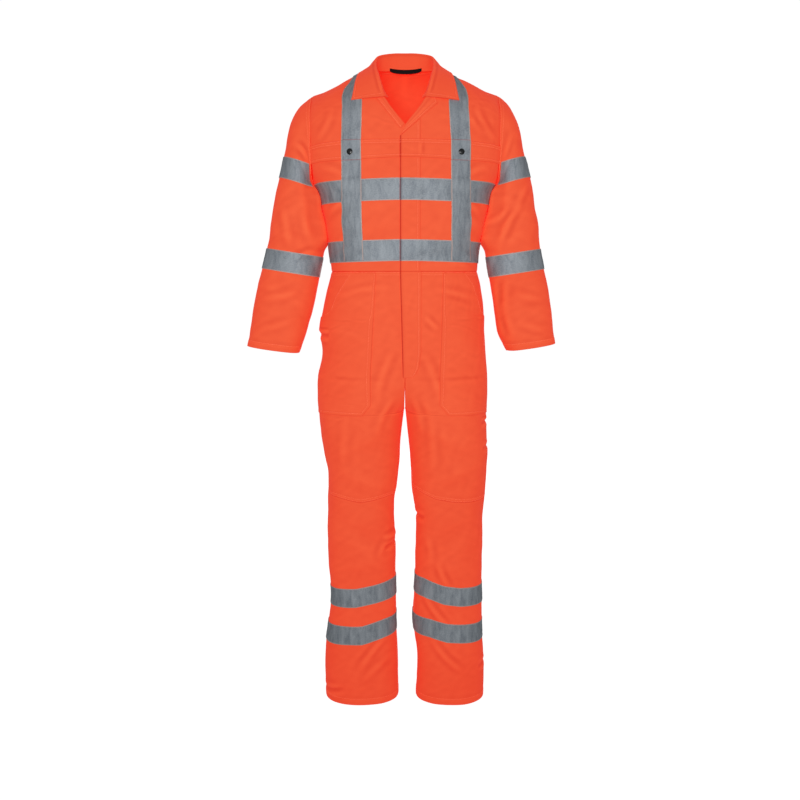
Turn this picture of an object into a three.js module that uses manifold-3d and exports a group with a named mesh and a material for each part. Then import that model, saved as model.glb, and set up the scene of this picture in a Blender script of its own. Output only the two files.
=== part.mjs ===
import * as THREE from "three";
import { mergeVertices } from "three/addons/utils/BufferGeometryUtils.js";
import Module from "manifold-3d";

// A long-sleeved boiler suit of fluorescent cloth with reflective tape, filled out as if worn.
// Millimetres, +Z up. The front faces -Y and +X is the wearer's left.
// The origin lies midway between the shoulders, at the height of the shoulder line.
const wasm = await Module();
wasm.setup();

// Cloth, tape and seams.
const CLOTH = 1.5;
const TAPE = 1.2;
const GAP = 0.3;
const SEAM = 0.15;
const TAPE_WIDTH = 50;
const STEP_WALL = 2;
const FIRST_LAYER = GAP;
const SECOND_LAYER = GAP + TAPE + GAP;

// Levels of the garment.
const WAIST_SEAM = -450;
const DOME_START = -110;
const FLY_END = -706;
const CROTCH = -794;
const HEM = -1570;
const ARMHOLE = 222;
const SHOULDER_LINE_Y = 5;

// Powers of the rounded-square sections: 2 is an ellipse, more is squarer.
const TORSO_POWER = 2.5;
const LEG_POWER = 2.3;
const SLEEVE_POWER = 2.2;
const CHEST_POWER = 1.9;
const UPPER_BACK_POWER = 2.8;

// Points round each loop, and rows over the shoulders.
const TORSO_POINTS = 26;
const LEG_POINTS = 18;
const SLEEVE_POINTS = 14;
const SHOULDER_ROWS = 5;

// A table is read by the names of its columns.
function table(columns, rows) {
  const names = columns.split(" ");
  return rows.map((row) => Object.fromEntries(names.map((name, column) => [name, row[column]])));
}

// Height of the shoulder ridge along X.
const SHOULDER = table("x z", [
  [0, 48],
  [75, 28],
  [132, 3.5],
  [193, -24],
  [230, -37],
  [260, -53],
]);

// Torso sections from the waist seam up: the side edges and the front and back depths.
const TORSO = table("z right left front back", [
  [-450, -181, 178, -108, 92],
  [-397, -187, 182, -112, 99],
  [-348, -191, 190, -116, 106],
  [-300, -203, 203, -119, 112],
  [-265, -209, 209, -121, 116],
  [-238, -222, 222, -121, 118],
  [-210, -235, 235, -120, 120],
  [-165, -243, 243, -118, 121],
  [-110, -245, 245, -114, 119],
]);

// Seat sections from the waist seam down to the end of the fly.
const SEAT = table("z right left front back", [
  [-450, -181, 178, -108, 92],
  [-474, -188, 185, -111, 98],
  [-545, -203, 196, -112, 108],
  [-594, -211, 198, -114, 113],
  [-645, -206, 203, -112, 116],
  [-706, -217, 206, -111, 114],
]);

// Leg sections below the crotch: outer and inner edges, and the front and back depths.
const RIGHT_LEG = table("z outer inner front back", [
  [-794, -216, 0, -104, 105],
  [-850, -212, -7, -97, 97],
  [-955, -196, -18, -82, 80],
  [-1014, -197, -25, -78, 70],
  [-1070, -200, -25, -74, 72],
  [-1140, -199, -25, -66, 76],
  [-1220, -197, -25, -60, 74],
  [-1290, -195, -22, -62, 70],
  [-1366, -202, -20, -64, 70],
  [-1436, -210, -17, -68, 68],
  [-1570, -209, -17, -70, 71],
]);
const LEFT_LEG = table("z outer inner front back", [
  [-794, 205, 0, -104, 105],
  [-850, 208, 6, -97, 97],
  [-955, 210, 19, -84, 80],
  [-1014, 208, 23, -78, 70],
  [-1070, 204, 30, -74, 72],
  [-1140, 203, 30, -65, 76],
  [-1226, 204, 28, -60, 74],
  [-1290, 205, 25, -62, 70],
  [-1366, 206, 23, -64, 70],
  [-1436, 210, 32, -68, 68],
  [-1570, 212, 31, -70, 71],
]);

// Sleeve sections from the cuff to the armhole. Each lies in a plane through its outer point
// and its inner point, and has a middle and a half depth along Y.
const RIGHT_SLEEVE = table("outerX outerZ innerX innerZ middle depth", [
  [391, -630, 262, -648, -35, 46],
  [383, -590, 246, -607, -32, 48],
  [373, -543, 234, -559, -26, 50],
  [352, -446, 211, -463, -15, 53],
  [339, -397, 202, -414, -11, 55],
  [328, -348, 194.5, -368, -8, 58],
  [322, -300, 200, -325, -5, 61],
  [311, -252, 208, -290, -3, 64],
  [297, -205, 215, -264, -1, 66],
  [286, -158, 219.5, -252, 0, 68],
  [270, -88, 221, -245, 1, 67],
  [245, -52, 222, -241.5, 2, 65],
]);
const LEFT_SLEEVE = table("outerX outerZ innerX innerZ middle depth", [
  [371, -624, 252, -643, -36, 46],
  [364, -586, 232, -603, -33, 48],
  [358, -542, 225, -557, -27, 50],
  [343, -446, 207, -462, -15, 53],
  [333, -397, 199, -414, -11, 55],
  [326, -348, 193.5, -368, -8, 58],
  [318, -300, 200, -325, -5, 61],
  [311, -252, 208, -290, -3, 64],
  [298, -205, 215, -264, -1, 66],
  [285, -158, 219.5, -252, 0, 68],
  [268, -88, 221, -245, 1, 67],
  [246, -52, 222, -241.5, 2, 65],
]);

// The largest folds: the middle, the angle from level in the front view, the half length,
// the half width and the height. A fold with y above zero lies on the back.
const TORSO_FOLDS = table("x y z angle length width height", [
  [-150, -1, -335, 24, 70, 24, 5],
  [150, -1, -330, -30, 75, 24, 5],
  [70, -1, -420, 8, 80, 18, -4],
  [-60, -1, -345, 12, 60, 20, 4],
  [-95, 1, -330, 35, 100, 26, 5],
  [100, 1, -345, -30, 100, 26, 5],
]);
const LEG_FOLDS = table("x y z angle length width height", [
  [-120, -1, -868, 30, 90, 26, 6],
  [105, -1, -850, -24, 90, 26, 6],
  [-95, -1, -965, -22, 80, 24, 6],
  [120, -1, -950, 26, 80, 24, 6],
  [-110, -1, -1110, -35, 80, 24, -5],
  [115, -1, -1120, 32, 80, 24, -5],
  [-110, -1, -1190, 12, 85, 22, 4],
  [110, -1, -1196, -14, 85, 22, 4],
  [-115, 1, -1010, 14, 90, 26, 6],
  [115, 1, -1020, -12, 90, 26, 6],
  [-115, 1, -880, -30, 90, 28, 5],
  [115, 1, -890, 28, 90, 28, 5],
]);
const SLEEVE_FOLDS = table("x y z angle length width height", [
  [-262, -1, -305, 34, 60, 20, 5],
  [-278, -1, -370, -30, 60, 20, 5],
  [-300, -1, -505, -24, 60, 22, 5],
  [262, -1, -300, -34, 60, 20, 5],
  [275, -1, -365, 30, 60, 20, 5],
  [292, -1, -510, 26, 60, 22, 5],
]);

// Front closure, flaps and neck opening.
const CLOSURE_X = -12;
const PLACKET_EDGE_X = 35;
const FLY_WIDTH_X = 38;
const NECK_HALF_WIDTH = 75;
const NECK_BACK = 62;
const NECK_POWER = 2.3;
const NECK_CUT_POINTS = 16;
const SNAP_RADIUS = 7;
const SNAP_HEIGHT = 2;
const SNAP_SEAT = 0.75;
const SNAP_Z = -179;
const BRACE_HALF_WIDTH = 23;

// Collar: a stand inside the neck edge, a roll line, and a fall that lies on the shoulders.
const COLLAR_HALF_THICKNESS = 1;
const COLLAR_LIFT = 4.4;
const ROLL_DROP = 5;
const ROLL_SPREAD = 2.6;
const COLLAR = table("bx by bz rx ry rz ex ey ez", [
  [0, 60.4, 38, 0, 65, 81, 0, 93, 24],
  [22, 58.2, 38, 22, 63, 80.5, 28, 92, 22],
  [42, 52, 36, 43, 56, 77, 57, 84, 17],
  [60, 38.5, 33, 61.5, 42, 70, 82, 66, 14],
  [71, 17, 28, 69.5, 18, 57, 99, 34, 12],
  [71.6, -2, 22, 70.5, -3, 43, 106, 4, 12],
  [69.8, -13, 17, 70, -17, 36, 109, -20, 6],
  [66, -24, 12, 69, -31, 26.5, 112, -42, -6],
  [60, -46, -5, 66.5, -54, 11, 115.5, -64, -23],
  [54, -72, -27, 60, -84, -17, 119, -82, -45],
  [46, -84, -44, 53, -99, -43, 121.5, -92, -58],
  [39, -90, -56, 47, -106, -59, 123.5, -95, -66],
]);

// Hanger loop inside the back of the neck.
const LOOP_LEFT_END = 41;
const LOOP_RIGHT_END = -37;
const LOOP_WIDTH = 10;
const LOOP_TOP = 46;
const LOOP_SAG = 4;
const LOOP_THICKNESS = 1;
const LOOP_RIGHT_Y = 51.6;
const LOOP_LEFT_Y = 50.2;

const CLOTH_COLOUR = "#f4512c";
const TAPE_COLOUR = "#9ba1a6";
const BLACK = "#17181a";

// Straight lines between the rows of a table.
function between(rows, key, value, name) {
  const first = rows[0][key] < rows[rows.length - 1][key] ? rows : [...rows].reverse();
  let upper = first.findIndex((row) => row[key] >= value);
  upper = upper < 1 ? (upper < 0 ? first.length - 1 : 1) : upper;
  const low = first[upper - 1];
  const high = first[upper];
  const share = (value - low[key]) / (high[key] - low[key]);
  return low[name] + (high[name] - low[name]) * share;
}

function signedPower(value, power) {
  return Math.sign(value) * Math.abs(value) ** power;
}

// One level loop, anticlockwise from +X, seen from above.
function levelLoop(z, low, high, front, back, power, count) {
  const middle = (low + high) / 2;
  const half = (high - low) / 2;
  return Array.from({ length: count }, (unused, k) => {
    const angle = (2 * Math.PI * k) / count;
    const across = signedPower(Math.cos(angle), 2 / power);
    const along = Math.abs(Math.sin(angle)) ** (2 / power);
    const depth = Math.sin(angle) > 0 ? back : front;
    return new THREE.Vector3(middle + half * across, depth * along, z);
  });
}

// Height and depth of the shoulders above the level where the torso starts to close.
function shoulderPoint(x, startY, rise) {
  const power = startY < SHOULDER_LINE_Y ? CHEST_POWER : UPPER_BACK_POWER;
  const up = Math.sin(rise) ** (2 / power);
  const out = Math.cos(rise) ** (2 / power);
  const top = between(SHOULDER, "x", Math.abs(x), "z");
  const y = SHOULDER_LINE_Y + (startY - SHOULDER_LINE_Y) * out;
  return new THREE.Vector3(x, y, DOME_START + (top - DOME_START) * up);
}

function torsoLoops() {
  const loops = TORSO.map((row) =>
    levelLoop(row.z, row.right, row.left, row.front, row.back, TORSO_POWER, TORSO_POINTS));
  const start = loops[loops.length - 1];
  for (let row = 1; row <= SHOULDER_ROWS; row += 1) {
    const rise = (Math.PI / 2) * (row / SHOULDER_ROWS);
    loops.push(start.map((point) => shoulderPoint(point.x, point.y, rise)));
  }
  return loops;
}

// Depth of the torso at a place in the front view, on the front or the back.
function torsoDepth(x, z, side) {
  const level = Math.min(z, DOME_START);
  const half = between(TORSO, "z", level, x < 0 ? "right" : "left");
  const most = between(TORSO, "z", level, side < 0 ? "front" : "back");
  const share = Math.min(1, Math.abs(x / half));
  const levelDepth = most * (1 - share ** TORSO_POWER) ** (1 / TORSO_POWER);
  if (z <= DOME_START) {
    return levelDepth;
  }
  const power = side < 0 ? CHEST_POWER : UPPER_BACK_POWER;
  const top = between(SHOULDER, "x", Math.abs(x), "z");
  const up = Math.min(1, (z - DOME_START) / (top - DOME_START));
  return SHOULDER_LINE_Y + (levelDepth - SHOULDER_LINE_Y) * (1 - up ** power) ** (1 / power);
}

// A leg is the whole seat loop down to the fly end, and then narrows to its own loop.
function legLoops(rows, outerName) {
  const loops = SEAT.map((row) =>
    levelLoop(row.z, row.right, row.left, row.front, row.back, LEG_POWER, LEG_POINTS));
  const start = SEAT[SEAT.length - 1];
  const end = rows[0];
  for (const share of [0.3, 0.58, 0.84]) {
    const z = FLY_END + (CROTCH - FLY_END) * share;
    const outer = start[outerName] + (end.outer - start[outerName]) * share;
    const inner = (outer / (1 + share)) * (share - 1);
    const front = start.front + (end.front - start.front) * share;
    const back = start.back + (end.back - start.back) * share;
    const low = Math.min(outer, inner);
    const high = Math.max(outer, inner);
    loops.push(levelLoop(z, low, high, front, back, LEG_POWER, LEG_POINTS));
  }
  for (const row of rows) {
    const low = Math.min(row.outer, row.inner);
    const high = Math.max(row.outer, row.inner);
    loops.push(levelLoop(row.z, low, high, row.front, row.back, LEG_POWER, LEG_POINTS));
  }
  return loops.reverse();
}

// Sleeve loops from the cuff up. The last ones follow the armhole of the torso.
function sleeveLoops(rows, side) {
  const loops = rows.map((row) => sleeveLoop(row, side));
  for (const inset of [0, 4]) {
    loops.push(armholeLoop(side, ARMHOLE - inset));
  }
  return loops;
}

function sleeveLoop(row, side) {
  return Array.from({ length: SLEEVE_POINTS }, (unused, k) => {
    const angle = (2 * Math.PI * k) / SLEEVE_POINTS;
    const across = signedPower(Math.cos(angle), 2 / SLEEVE_POWER);
    const along = signedPower(Math.sin(angle), 2 / SLEEVE_POWER);
    const x = (row.outerX + row.innerX) / 2 + ((row.outerX - row.innerX) / 2) * across;
    const z = (row.outerZ + row.innerZ) / 2 + ((row.outerZ - row.innerZ) / 2) * across;
    return new THREE.Vector3(side * x, row.middle + side * row.depth * along, z);
  });
}

function armholeLoop(side, x) {
  const top = between(SHOULDER, "x", ARMHOLE, "z");
  const bottom = -239;
  return Array.from({ length: SLEEVE_POINTS }, (unused, k) => {
    const angle = (2 * Math.PI * k) / SLEEVE_POINTS;
    const across = signedPower(Math.cos(angle), 2 / SLEEVE_POWER);
    const z = (top + bottom) / 2 + ((top - bottom) / 2) * across;
    const depth = torsoDepth(side * ARMHOLE, z, side * Math.sin(angle));
    return new THREE.Vector3(side * x, depth, z);
  });
}

// A surface joins its loops, and its largest folds stand out along its normals.
function surfaceOf(loops, folds) {
  const count = loops[0].length;
  const index = [];
  for (let row = 0; row < loops.length - 1; row += 1) {
    for (let k = 0; k < count; k += 1) {
      const here = row * count + k;
      const next = row * count + ((k + 1) % count);
      index.push(here, next, next + count, here, next + count, here + count);
    }
  }
  return foldSurface(indexedSurface(loops.flat(), index), folds);
}

function indexedSurface(points, index) {
  const raw = new THREE.BufferGeometry();
  raw.setAttribute("position", new THREE.Float32BufferAttribute(points.flatMap((p) => p.toArray()), 3));
  raw.setIndex(index);
  const surface = mergeVertices(raw, 0.001);
  surface.computeVertexNormals();
  return surface;
}

function foldHeight(fold, point) {
  if (fold.y * point.y < 0) {
    return 0;
  }
  const angle = THREE.MathUtils.degToRad(fold.angle);
  const dx = point.x - fold.x;
  const dz = point.z - fold.z;
  const along = (dx * Math.cos(angle) + dz * Math.sin(angle)) / fold.length;
  const across = (dz * Math.cos(angle) - dx * Math.sin(angle)) / fold.width;
  return fold.height * Math.exp(-(along ** 2) - across ** 2);
}

function foldSurface(surface, folds) {
  const position = surface.getAttribute("position");
  const normal = surface.getAttribute("normal");
  const point = new THREE.Vector3();
  const outward = new THREE.Vector3();
  for (let k = 0; k < position.count; k += 1) {
    point.fromBufferAttribute(position, k);
    outward.fromBufferAttribute(normal, k);
    const height = folds.reduce((sum, fold) => sum + foldHeight(fold, point), 0);
    point.addScaledVector(outward, height);
    position.setXYZ(k, point.x, point.y, point.z);
  }
  surface.computeVertexNormals();
  return surface;
}

function solidOf(geometry) {
  const bare = geometry.clone();
  bare.deleteAttribute("normal");
  bare.deleteAttribute("uv");
  const merged = mergeVertices(bare, 0.00001);
  const mesh = new wasm.Mesh({
    numProp: 3,
    vertProperties: new Float32Array(merged.getAttribute("position").array),
    triVerts: new Uint32Array(merged.index.array),
  });
  return new wasm.Manifold(mesh);
}

// A wall of even thickness between two distances from a surface.
function wall(surface, inner, outer) {
  const position = surface.getAttribute("position");
  const normal = surface.getAttribute("normal");
  const index = Array.from(surface.index.array);
  const count = position.count;
  const points = [];
  for (const distance of [outer, inner]) {
    for (let k = 0; k < count; k += 1) {
      const point = new THREE.Vector3().fromBufferAttribute(position, k);
      const outward = new THREE.Vector3().fromBufferAttribute(normal, k);
      points.push(...point.addScaledVector(outward, distance).toArray());
    }
  }
  const faces = [...index];
  const edges = new Set();
  for (let k = 0; k < index.length; k += 3) {
    const [a, b, c] = index.slice(k, k + 3);
    faces.push(a + count, c + count, b + count);
    for (const edge of [[a, b], [b, c], [c, a]]) {
      edges.add(edge.join(" "));
    }
  }
  for (const edge of edges) {
    const [a, b] = edge.split(" ").map(Number);
    if (!edges.has(b + " " + a)) {
      faces.push(b, a, a + count, b, a + count, b + count);
    }
  }
  const geometry = new THREE.BufferGeometry();
  geometry.setAttribute("position", new THREE.Float32BufferAttribute(points, 3));
  geometry.setIndex(faces);
  return solidOf(geometry);
}

// Cutters: an outline in the front view carried along Y, or in the top view carried along Z.
function frontCutter(outline, nearY, farY) {
  const shape = new THREE.Shape(outline.map(([x, z]) => new THREE.Vector2(x, z)));
  const geometry = new THREE.ExtrudeGeometry(shape, { depth: farY - nearY, bevelEnabled: false });
  const turn = new THREE.Matrix4().makeBasis(
    new THREE.Vector3(1, 0, 0), new THREE.Vector3(0, 0, 1), new THREE.Vector3(0, -1, 0));
  geometry.applyMatrix4(turn);
  geometry.translate(0, farY, 0);
  return solidOf(geometry);
}

function topCutter(outline, lowZ, highZ) {
  const shape = new THREE.Shape(outline.map(([x, y]) => new THREE.Vector2(x, y)));
  const geometry = new THREE.ExtrudeGeometry(shape, { depth: highZ - lowZ, bevelEnabled: false });
  geometry.translate(0, 0, lowZ);
  return solidOf(geometry);
}

function rectangle(lowX, lowZ, highX, highZ) {
  return [[lowX, lowZ], [highX, lowZ], [highX, highZ], [lowX, highZ]];
}

// A strip of given height whose upper edge is a table of x and z, cut between two x values.
function bandOutline(upper, height, lowX, highX, grow) {
  const inside = upper.filter((row) => row.x > lowX && row.x < highX).map((row) => row.x);
  const stations = [lowX, ...inside, highX];
  const top = stations.map((x) => [x, between(upper, "x", x, "z") + grow]);
  const bottom = stations.map((x) => [x, between(upper, "x", x, "z") - height - grow]);
  return [...top, ...bottom.reverse()];
}

const group = new THREE.Group();
const materials = {
  cloth: { color: CLOTH_COLOUR, roughness: 0.82, metalness: 0 },
  tape: { color: TAPE_COLOUR, roughness: 0.42, metalness: 0.15 },
  black: { color: BLACK, roughness: 0.6, metalness: 0 },
};

function addGeometry(name, geometry, look) {
  const material = new THREE.MeshStandardMaterial({ ...materials[look], side: THREE.DoubleSide });
  const mesh = new THREE.Mesh(geometry, material);
  mesh.name = name;
  group.add(mesh);
  return mesh;
}

// A cut can leave a loose chip at a seam, and the piece is its largest body.
function add(name, solid, look) {
  const bodies = solid.decompose().sort((one, other) => other.volume() - one.volume());
  const mesh = bodies[0].getMesh();
  const geometry = new THREE.BufferGeometry();
  geometry.setAttribute("position", new THREE.BufferAttribute(new Float32Array(mesh.vertProperties), 3));
  geometry.setIndex(new THREE.BufferAttribute(new Uint32Array(mesh.triVerts), 1));
  geometry.computeVertexNormals();
  return addGeometry(name, geometry, look);
}

// Every garment surface carries the cloth, one layer on it, and one more layer above that.
function layersOf(surface) {
  return {
    cloth: wall(surface, -CLOTH, 0),
    first: wall(surface, FIRST_LAYER, FIRST_LAYER + TAPE),
    second: wall(surface, SECOND_LAYER, SECOND_LAYER + TAPE),
    both: wall(surface, FIRST_LAYER, SECOND_LAYER + TAPE),
    under: wall(surface, -TAPE, SECOND_LAYER),
    above: wall(surface, FIRST_LAYER + TAPE, SECOND_LAYER + TAPE + 1),
  };
}

// A strip that lies on the cloth and steps up over the pieces that it crosses.
function stepped(layers, outline, crossed) {
  const near = crossed.map((piece) => piece(GAP));
  const far = crossed.map((piece) => piece(GAP + STEP_WALL));
  const under = wasm.Manifold.union(near).intersect(layers.under);
  const above = layers.above.subtract(wasm.Manifold.union(far));
  return layers.both.intersect(outline).subtract(under).subtract(above);
}

const torsoSurface = surfaceOf(torsoLoops(), TORSO_FOLDS);
const torso = layersOf(torsoSurface);
const FAR = 420;
const TOP = 120;

// The neck opening: a deep V in the front view, and a round back neck in the top view.
const V_TIP = [-1, -120];
const NECK_EDGE = [[22, -93], [35, -76], [47, -57], [56, -36], [62, -13], [69, 15], [NECK_HALF_WIDTH, 27]];
const vOutline = [
  V_TIP,
  ...NECK_EDGE,
  [NECK_HALF_WIDTH, TOP],
  [-NECK_HALF_WIDTH, TOP],
  ...NECK_EDGE.map(([x, z]) => [-x, z]).reverse(),
];
const neckFront = frontCutter(vOutline, -FAR, 1);
const neckBackOutline = Array.from({ length: NECK_CUT_POINTS + 1 }, (unused, k) => {
  const angle = (Math.PI * k) / NECK_CUT_POINTS;
  const x = NECK_HALF_WIDTH * signedPower(Math.cos(angle), 2 / NECK_POWER);
  return [x, NECK_BACK * Math.sin(angle) ** (2 / NECK_POWER)];
});
const neckBack = topCutter([...neckBackOutline, [-NECK_HALF_WIDTH, -5], [NECK_HALF_WIDTH, -5]], -60, TOP);

// Torso panels: two fronts that meet at the middle, and one back.
const armEdge = ARMHOLE - SEAM;
const waistTop = WAIST_SEAM + SEAM;
const backHalf = frontCutter(rectangle(-armEdge, waistTop, armEdge, TOP), SEAM, FAR);
add("back", torso.cloth.intersect(backHalf).subtract(neckBack), "cloth");
for (const [name, low, high] of [["front_right", -armEdge, -SEAM], ["front_left", SEAM, armEdge]]) {
  const half = frontCutter(rectangle(low, waistTop, high, TOP), -FAR, -SEAM);
  add(name, torso.cloth.intersect(half).subtract(neckFront), "cloth");
}

// Reflective bands round the torso, 50 mm high and a little lower at the sides.
const CHEST_BAND = table("x z", [[-240, -243], [-20, -238], [20, -238], [240, -243]]);
const WAIST_BAND = table("x z", [[-240, -381], [-20, -376], [20, -376], [240, -381]]);
function bandCutter(upper, low, high, nearY, farY) {
  return (grow) => frontCutter(bandOutline(upper, TAPE_WIDTH, low, high, grow), nearY, farY);
}
function placketCutter(grow) {
  const edge = rectangle(CLOSURE_X - 40, waistTop - 20, PLACKET_EDGE_X + grow, -60);
  return frontCutter(edge, -FAR, -SEAM);
}
for (const [name, upper] of [["chest_band", CHEST_BAND], ["waist_band", WAIST_BAND]]) {
  const right = bandCutter(upper, -armEdge, CLOSURE_X - GAP, -FAR, -SEAM)(0);
  add(name + "_right", torso.first.intersect(right), "tape");
  const left = bandCutter(upper, CLOSURE_X, armEdge, -FAR, -SEAM)(0);
  add(name + "_left", stepped(torso, left, [placketCutter]), "tape");
  const rear = bandCutter(upper, -armEdge, armEdge, SEAM, FAR)(0);
  add(name + "_back", torso.first.intersect(rear), "tape");
}

// Covered front closure of the torso, from the lapel to the waist seam.
const placketOutline = [
  [CLOSURE_X, waistTop],
  [PLACKET_EDGE_X, waistTop],
  [PLACKET_EDGE_X, -106],
  [CLOSURE_X, -145],
];
add("placket_upper", torso.first.intersect(frontCutter(placketOutline, -FAR, -SEAM)), "cloth");

// Lapels turned out on to the fronts.
const LAPEL_INNER_EDGE = [[56.8, -38.5], [48.5, -56.5], [36.5, -75.5], [23.5, -92.5]];
const lapelLeft = [[-9, -142], [74, -72], [65, -56], [61, -47], ...LAPEL_INNER_EDGE, [0.5, -119.5]];
const lapelRight = [
  [-11, -129],
  [-65, -63],
  [-61, -49],
  ...LAPEL_INNER_EDGE.map(([x, z]) => [-x, z]),
  [-2.5, -119.5],
];
add("lapel_left", torso.first.intersect(frontCutter(lapelLeft, -FAR, -SEAM)), "cloth");
add("lapel_right", torso.first.intersect(frontCutter(lapelRight, -FAR, -SEAM)), "cloth");

// Chest flaps from the armhole to the closure.
const FLAP = table("x top bottom", [
  [12, -152, -192],
  [138, -153, -197],
  [198, -157, -198],
  [232, -162, -200],
]);
function flapOutline(side, inner, outer) {
  const inside = FLAP.filter((row) => row.x > inner && row.x < outer).map((row) => row.x);
  const stations = [inner, ...inside, outer];
  const top = stations.map((x) => [side * x, between(FLAP, "x", x, "top")]);
  const bottom = stations.map((x) => [side * x, between(FLAP, "x", x, "bottom")]);
  return [...top, ...bottom.reverse()];
}
const flapRight = frontCutter(flapOutline(-1, GAP - CLOSURE_X, armEdge), -FAR, -SEAM);
add("flap_right", torso.first.intersect(flapRight), "cloth");
const flapLeft = frontCutter(flapOutline(1, CLOSURE_X, armEdge), -FAR, -SEAM);
add("flap_left", stepped(torso, flapLeft, [placketCutter]), "cloth");

// Braces: reflective tape from the shoulder seam to the waist, in front and behind.
const BRACE_RIGHT = table("z x", [
  [TOP, -99], [5, -101], [-12, -110], [-30, -118], [-55, -122],
  [-80, -121], [-152, -124], [-290, -124], [-450, -120],
]);
const BRACE_LEFT = table("z x", [
  [TOP, 99], [5, 101], [-12, 110], [-30, 118], [-55, 122],
  [-80, 122], [-152, 127.5], [-290, 129], [-450, 133],
]);
const BRACE_BACK = table("z x", [[TOP, 99], [5, 101], [-20, 112], [-80, 119], [-450, 122]]);
function braceOutline(rows, side, highZ, lowZ) {
  const inside = rows.filter((row) => row.z < highZ && row.z > lowZ).map((row) => row.z);
  const stations = [highZ, ...inside, lowZ];
  const middle = stations.map((z) => [side * between(rows, "z", z, "x"), z]);
  const low = middle.map(([x, z]) => [x - BRACE_HALF_WIDTH, z]);
  const high = middle.map(([x, z]) => [x + BRACE_HALF_WIDTH, z]);
  return [...low, ...high.reverse()];
}
const FLAP_TOP_AT_BRACE = -152.2;
const FLAP_BOTTOM_AT_BRACE = -198;
const BRACE_END = -425;
const crossedBands = [
  bandCutter(CHEST_BAND, -armEdge, armEdge, -FAR, FAR),
  bandCutter(WAIST_BAND, -armEdge, armEdge, -FAR, FAR),
];
for (const [name, rows] of [["right", BRACE_RIGHT], ["left", BRACE_LEFT]]) {
  const upper = frontCutter(braceOutline(rows, 1, TOP, FLAP_TOP_AT_BRACE), -FAR, -SEAM);
  add("brace_upper_" + name, torso.first.intersect(upper), "tape");
  const lower = frontCutter(braceOutline(rows, 1, FLAP_BOTTOM_AT_BRACE, BRACE_END), -FAR, -SEAM);
  add("brace_lower_" + name, stepped(torso, lower, crossedBands), "tape");
  const onFlap = frontCutter(braceOutline(rows, 1, -154.5, -195), -FAR, -SEAM);
  add("flap_tape_" + name, torso.second.intersect(onFlap), "tape");
}
for (const [name, side] of [["right", -1], ["left", 1]]) {
  const strip = frontCutter(braceOutline(BRACE_BACK, side, TOP, BRACE_END), SEAM, FAR);
  add("brace_back_" + name, stepped(torso, strip, crossedBands), "tape");
}

// Snap fasteners on the flaps, seated by how far the flat facets lie inside the curve.
function torsoNormal(x, z) {
  const here = torsoDepth(x, z, -1);
  const slopeX = torsoDepth(x + 5, z, -1) - here;
  const slopeZ = torsoDepth(x, z + 5, -1) - here;
  return new THREE.Vector3(slopeX, -5, slopeZ).normalize();
}
for (const [name, x] of [["snap_right", -127], ["snap_left", 129]]) {
  const outward = torsoNormal(x, SNAP_Z);
  const lift = SECOND_LAYER + TAPE + GAP + SNAP_HEIGHT / 2 - SNAP_SEAT;
  const cap = new THREE.CylinderGeometry(SNAP_RADIUS - 1, SNAP_RADIUS, SNAP_HEIGHT, 16);
  const mesh = addGeometry(name, cap, "black");
  mesh.position.set(x, torsoDepth(x, SNAP_Z, -1), SNAP_Z).addScaledVector(outward, lift);
  mesh.quaternion.setFromUnitVectors(new THREE.Vector3(0, 1, 0), outward);
}

// A point is pushed out until it clears the shoulders by the given lift.
function clearOfShoulders(point, lift, exact) {
  const side = point.y < SHOULDER_LINE_Y ? -1 : 1;
  const power = side < 0 ? CHEST_POWER : UPPER_BACK_POWER;
  const top = between(SHOULDER, "x", Math.abs(point.x), "z") - DOME_START;
  const most = Math.abs(torsoDepth(point.x, DOME_START, side) - SHOULDER_LINE_Y);
  const out = point.y - SHOULDER_LINE_Y;
  const up = point.z - DOME_START;
  const reach = (Math.abs(out / most) ** power + Math.abs(up / top) ** power) ** (1 / power);
  const length = Math.hypot(out, up);
  const needed = length / reach + lift;
  if (length > needed && !exact) {
    return point;
  }
  const y = SHOULDER_LINE_Y + (out * needed) / length;
  return new THREE.Vector3(point.x, y, DOME_START + (up * needed) / length);
}

function collarSection(row, side) {
  const base = new THREE.Vector3(row.bx, row.by, row.bz);
  const roll = new THREE.Vector3(row.rx, row.ry, row.rz);
  const edge = clearOfShoulders(new THREE.Vector3(row.ex, row.ey, row.ez), COLLAR_LIFT, true);
  const inward = base.clone().sub(roll).normalize();
  const outward = edge.clone().sub(roll).normalize();
  const spread = outward.clone().sub(inward).setZ(0).normalize().multiplyScalar(ROLL_SPREAD);
  const innerTurn = roll.clone().addScaledVector(inward, ROLL_DROP).sub(spread);
  const outerTurn = roll.clone().addScaledVector(outward, ROLL_DROP).add(spread);
  const fall = [0.34, 0.67].map((share) => outerTurn.clone().lerp(edge, share));
  const line = [edge, fall[1], fall[0], outerTurn, roll, innerTurn, base];
  const cleared = line.map((point, k) => (k < 5 ? clearOfShoulders(point, COLLAR_LIFT, false) : point));
  return cleared.map((point) => new THREE.Vector3(side * point.x, point.y, point.z));
}

// The collar runs round the neck from the right front point to the left one.
function gridSurface(sections) {
  const count = sections[0].length;
  const index = [];
  for (let row = 0; row < sections.length - 1; row += 1) {
    for (let k = 0; k < count - 1; k += 1) {
      const here = row * count + k;
      index.push(here, here + 1, here + count + 1, here, here + count + 1, here + count);
    }
  }
  return indexedSurface(sections.flat(), index);
}
const collarSections = [
  ...[...COLLAR].reverse().map((row) => collarSection(row, -1)),
  ...COLLAR.slice(1).map((row) => collarSection(row, 1)),
];
const collarSurface = gridSurface(collarSections);
add("collar", wall(collarSurface, -COLLAR_HALF_THICKNESS, COLLAR_HALF_THICKNESS), "cloth");

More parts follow.
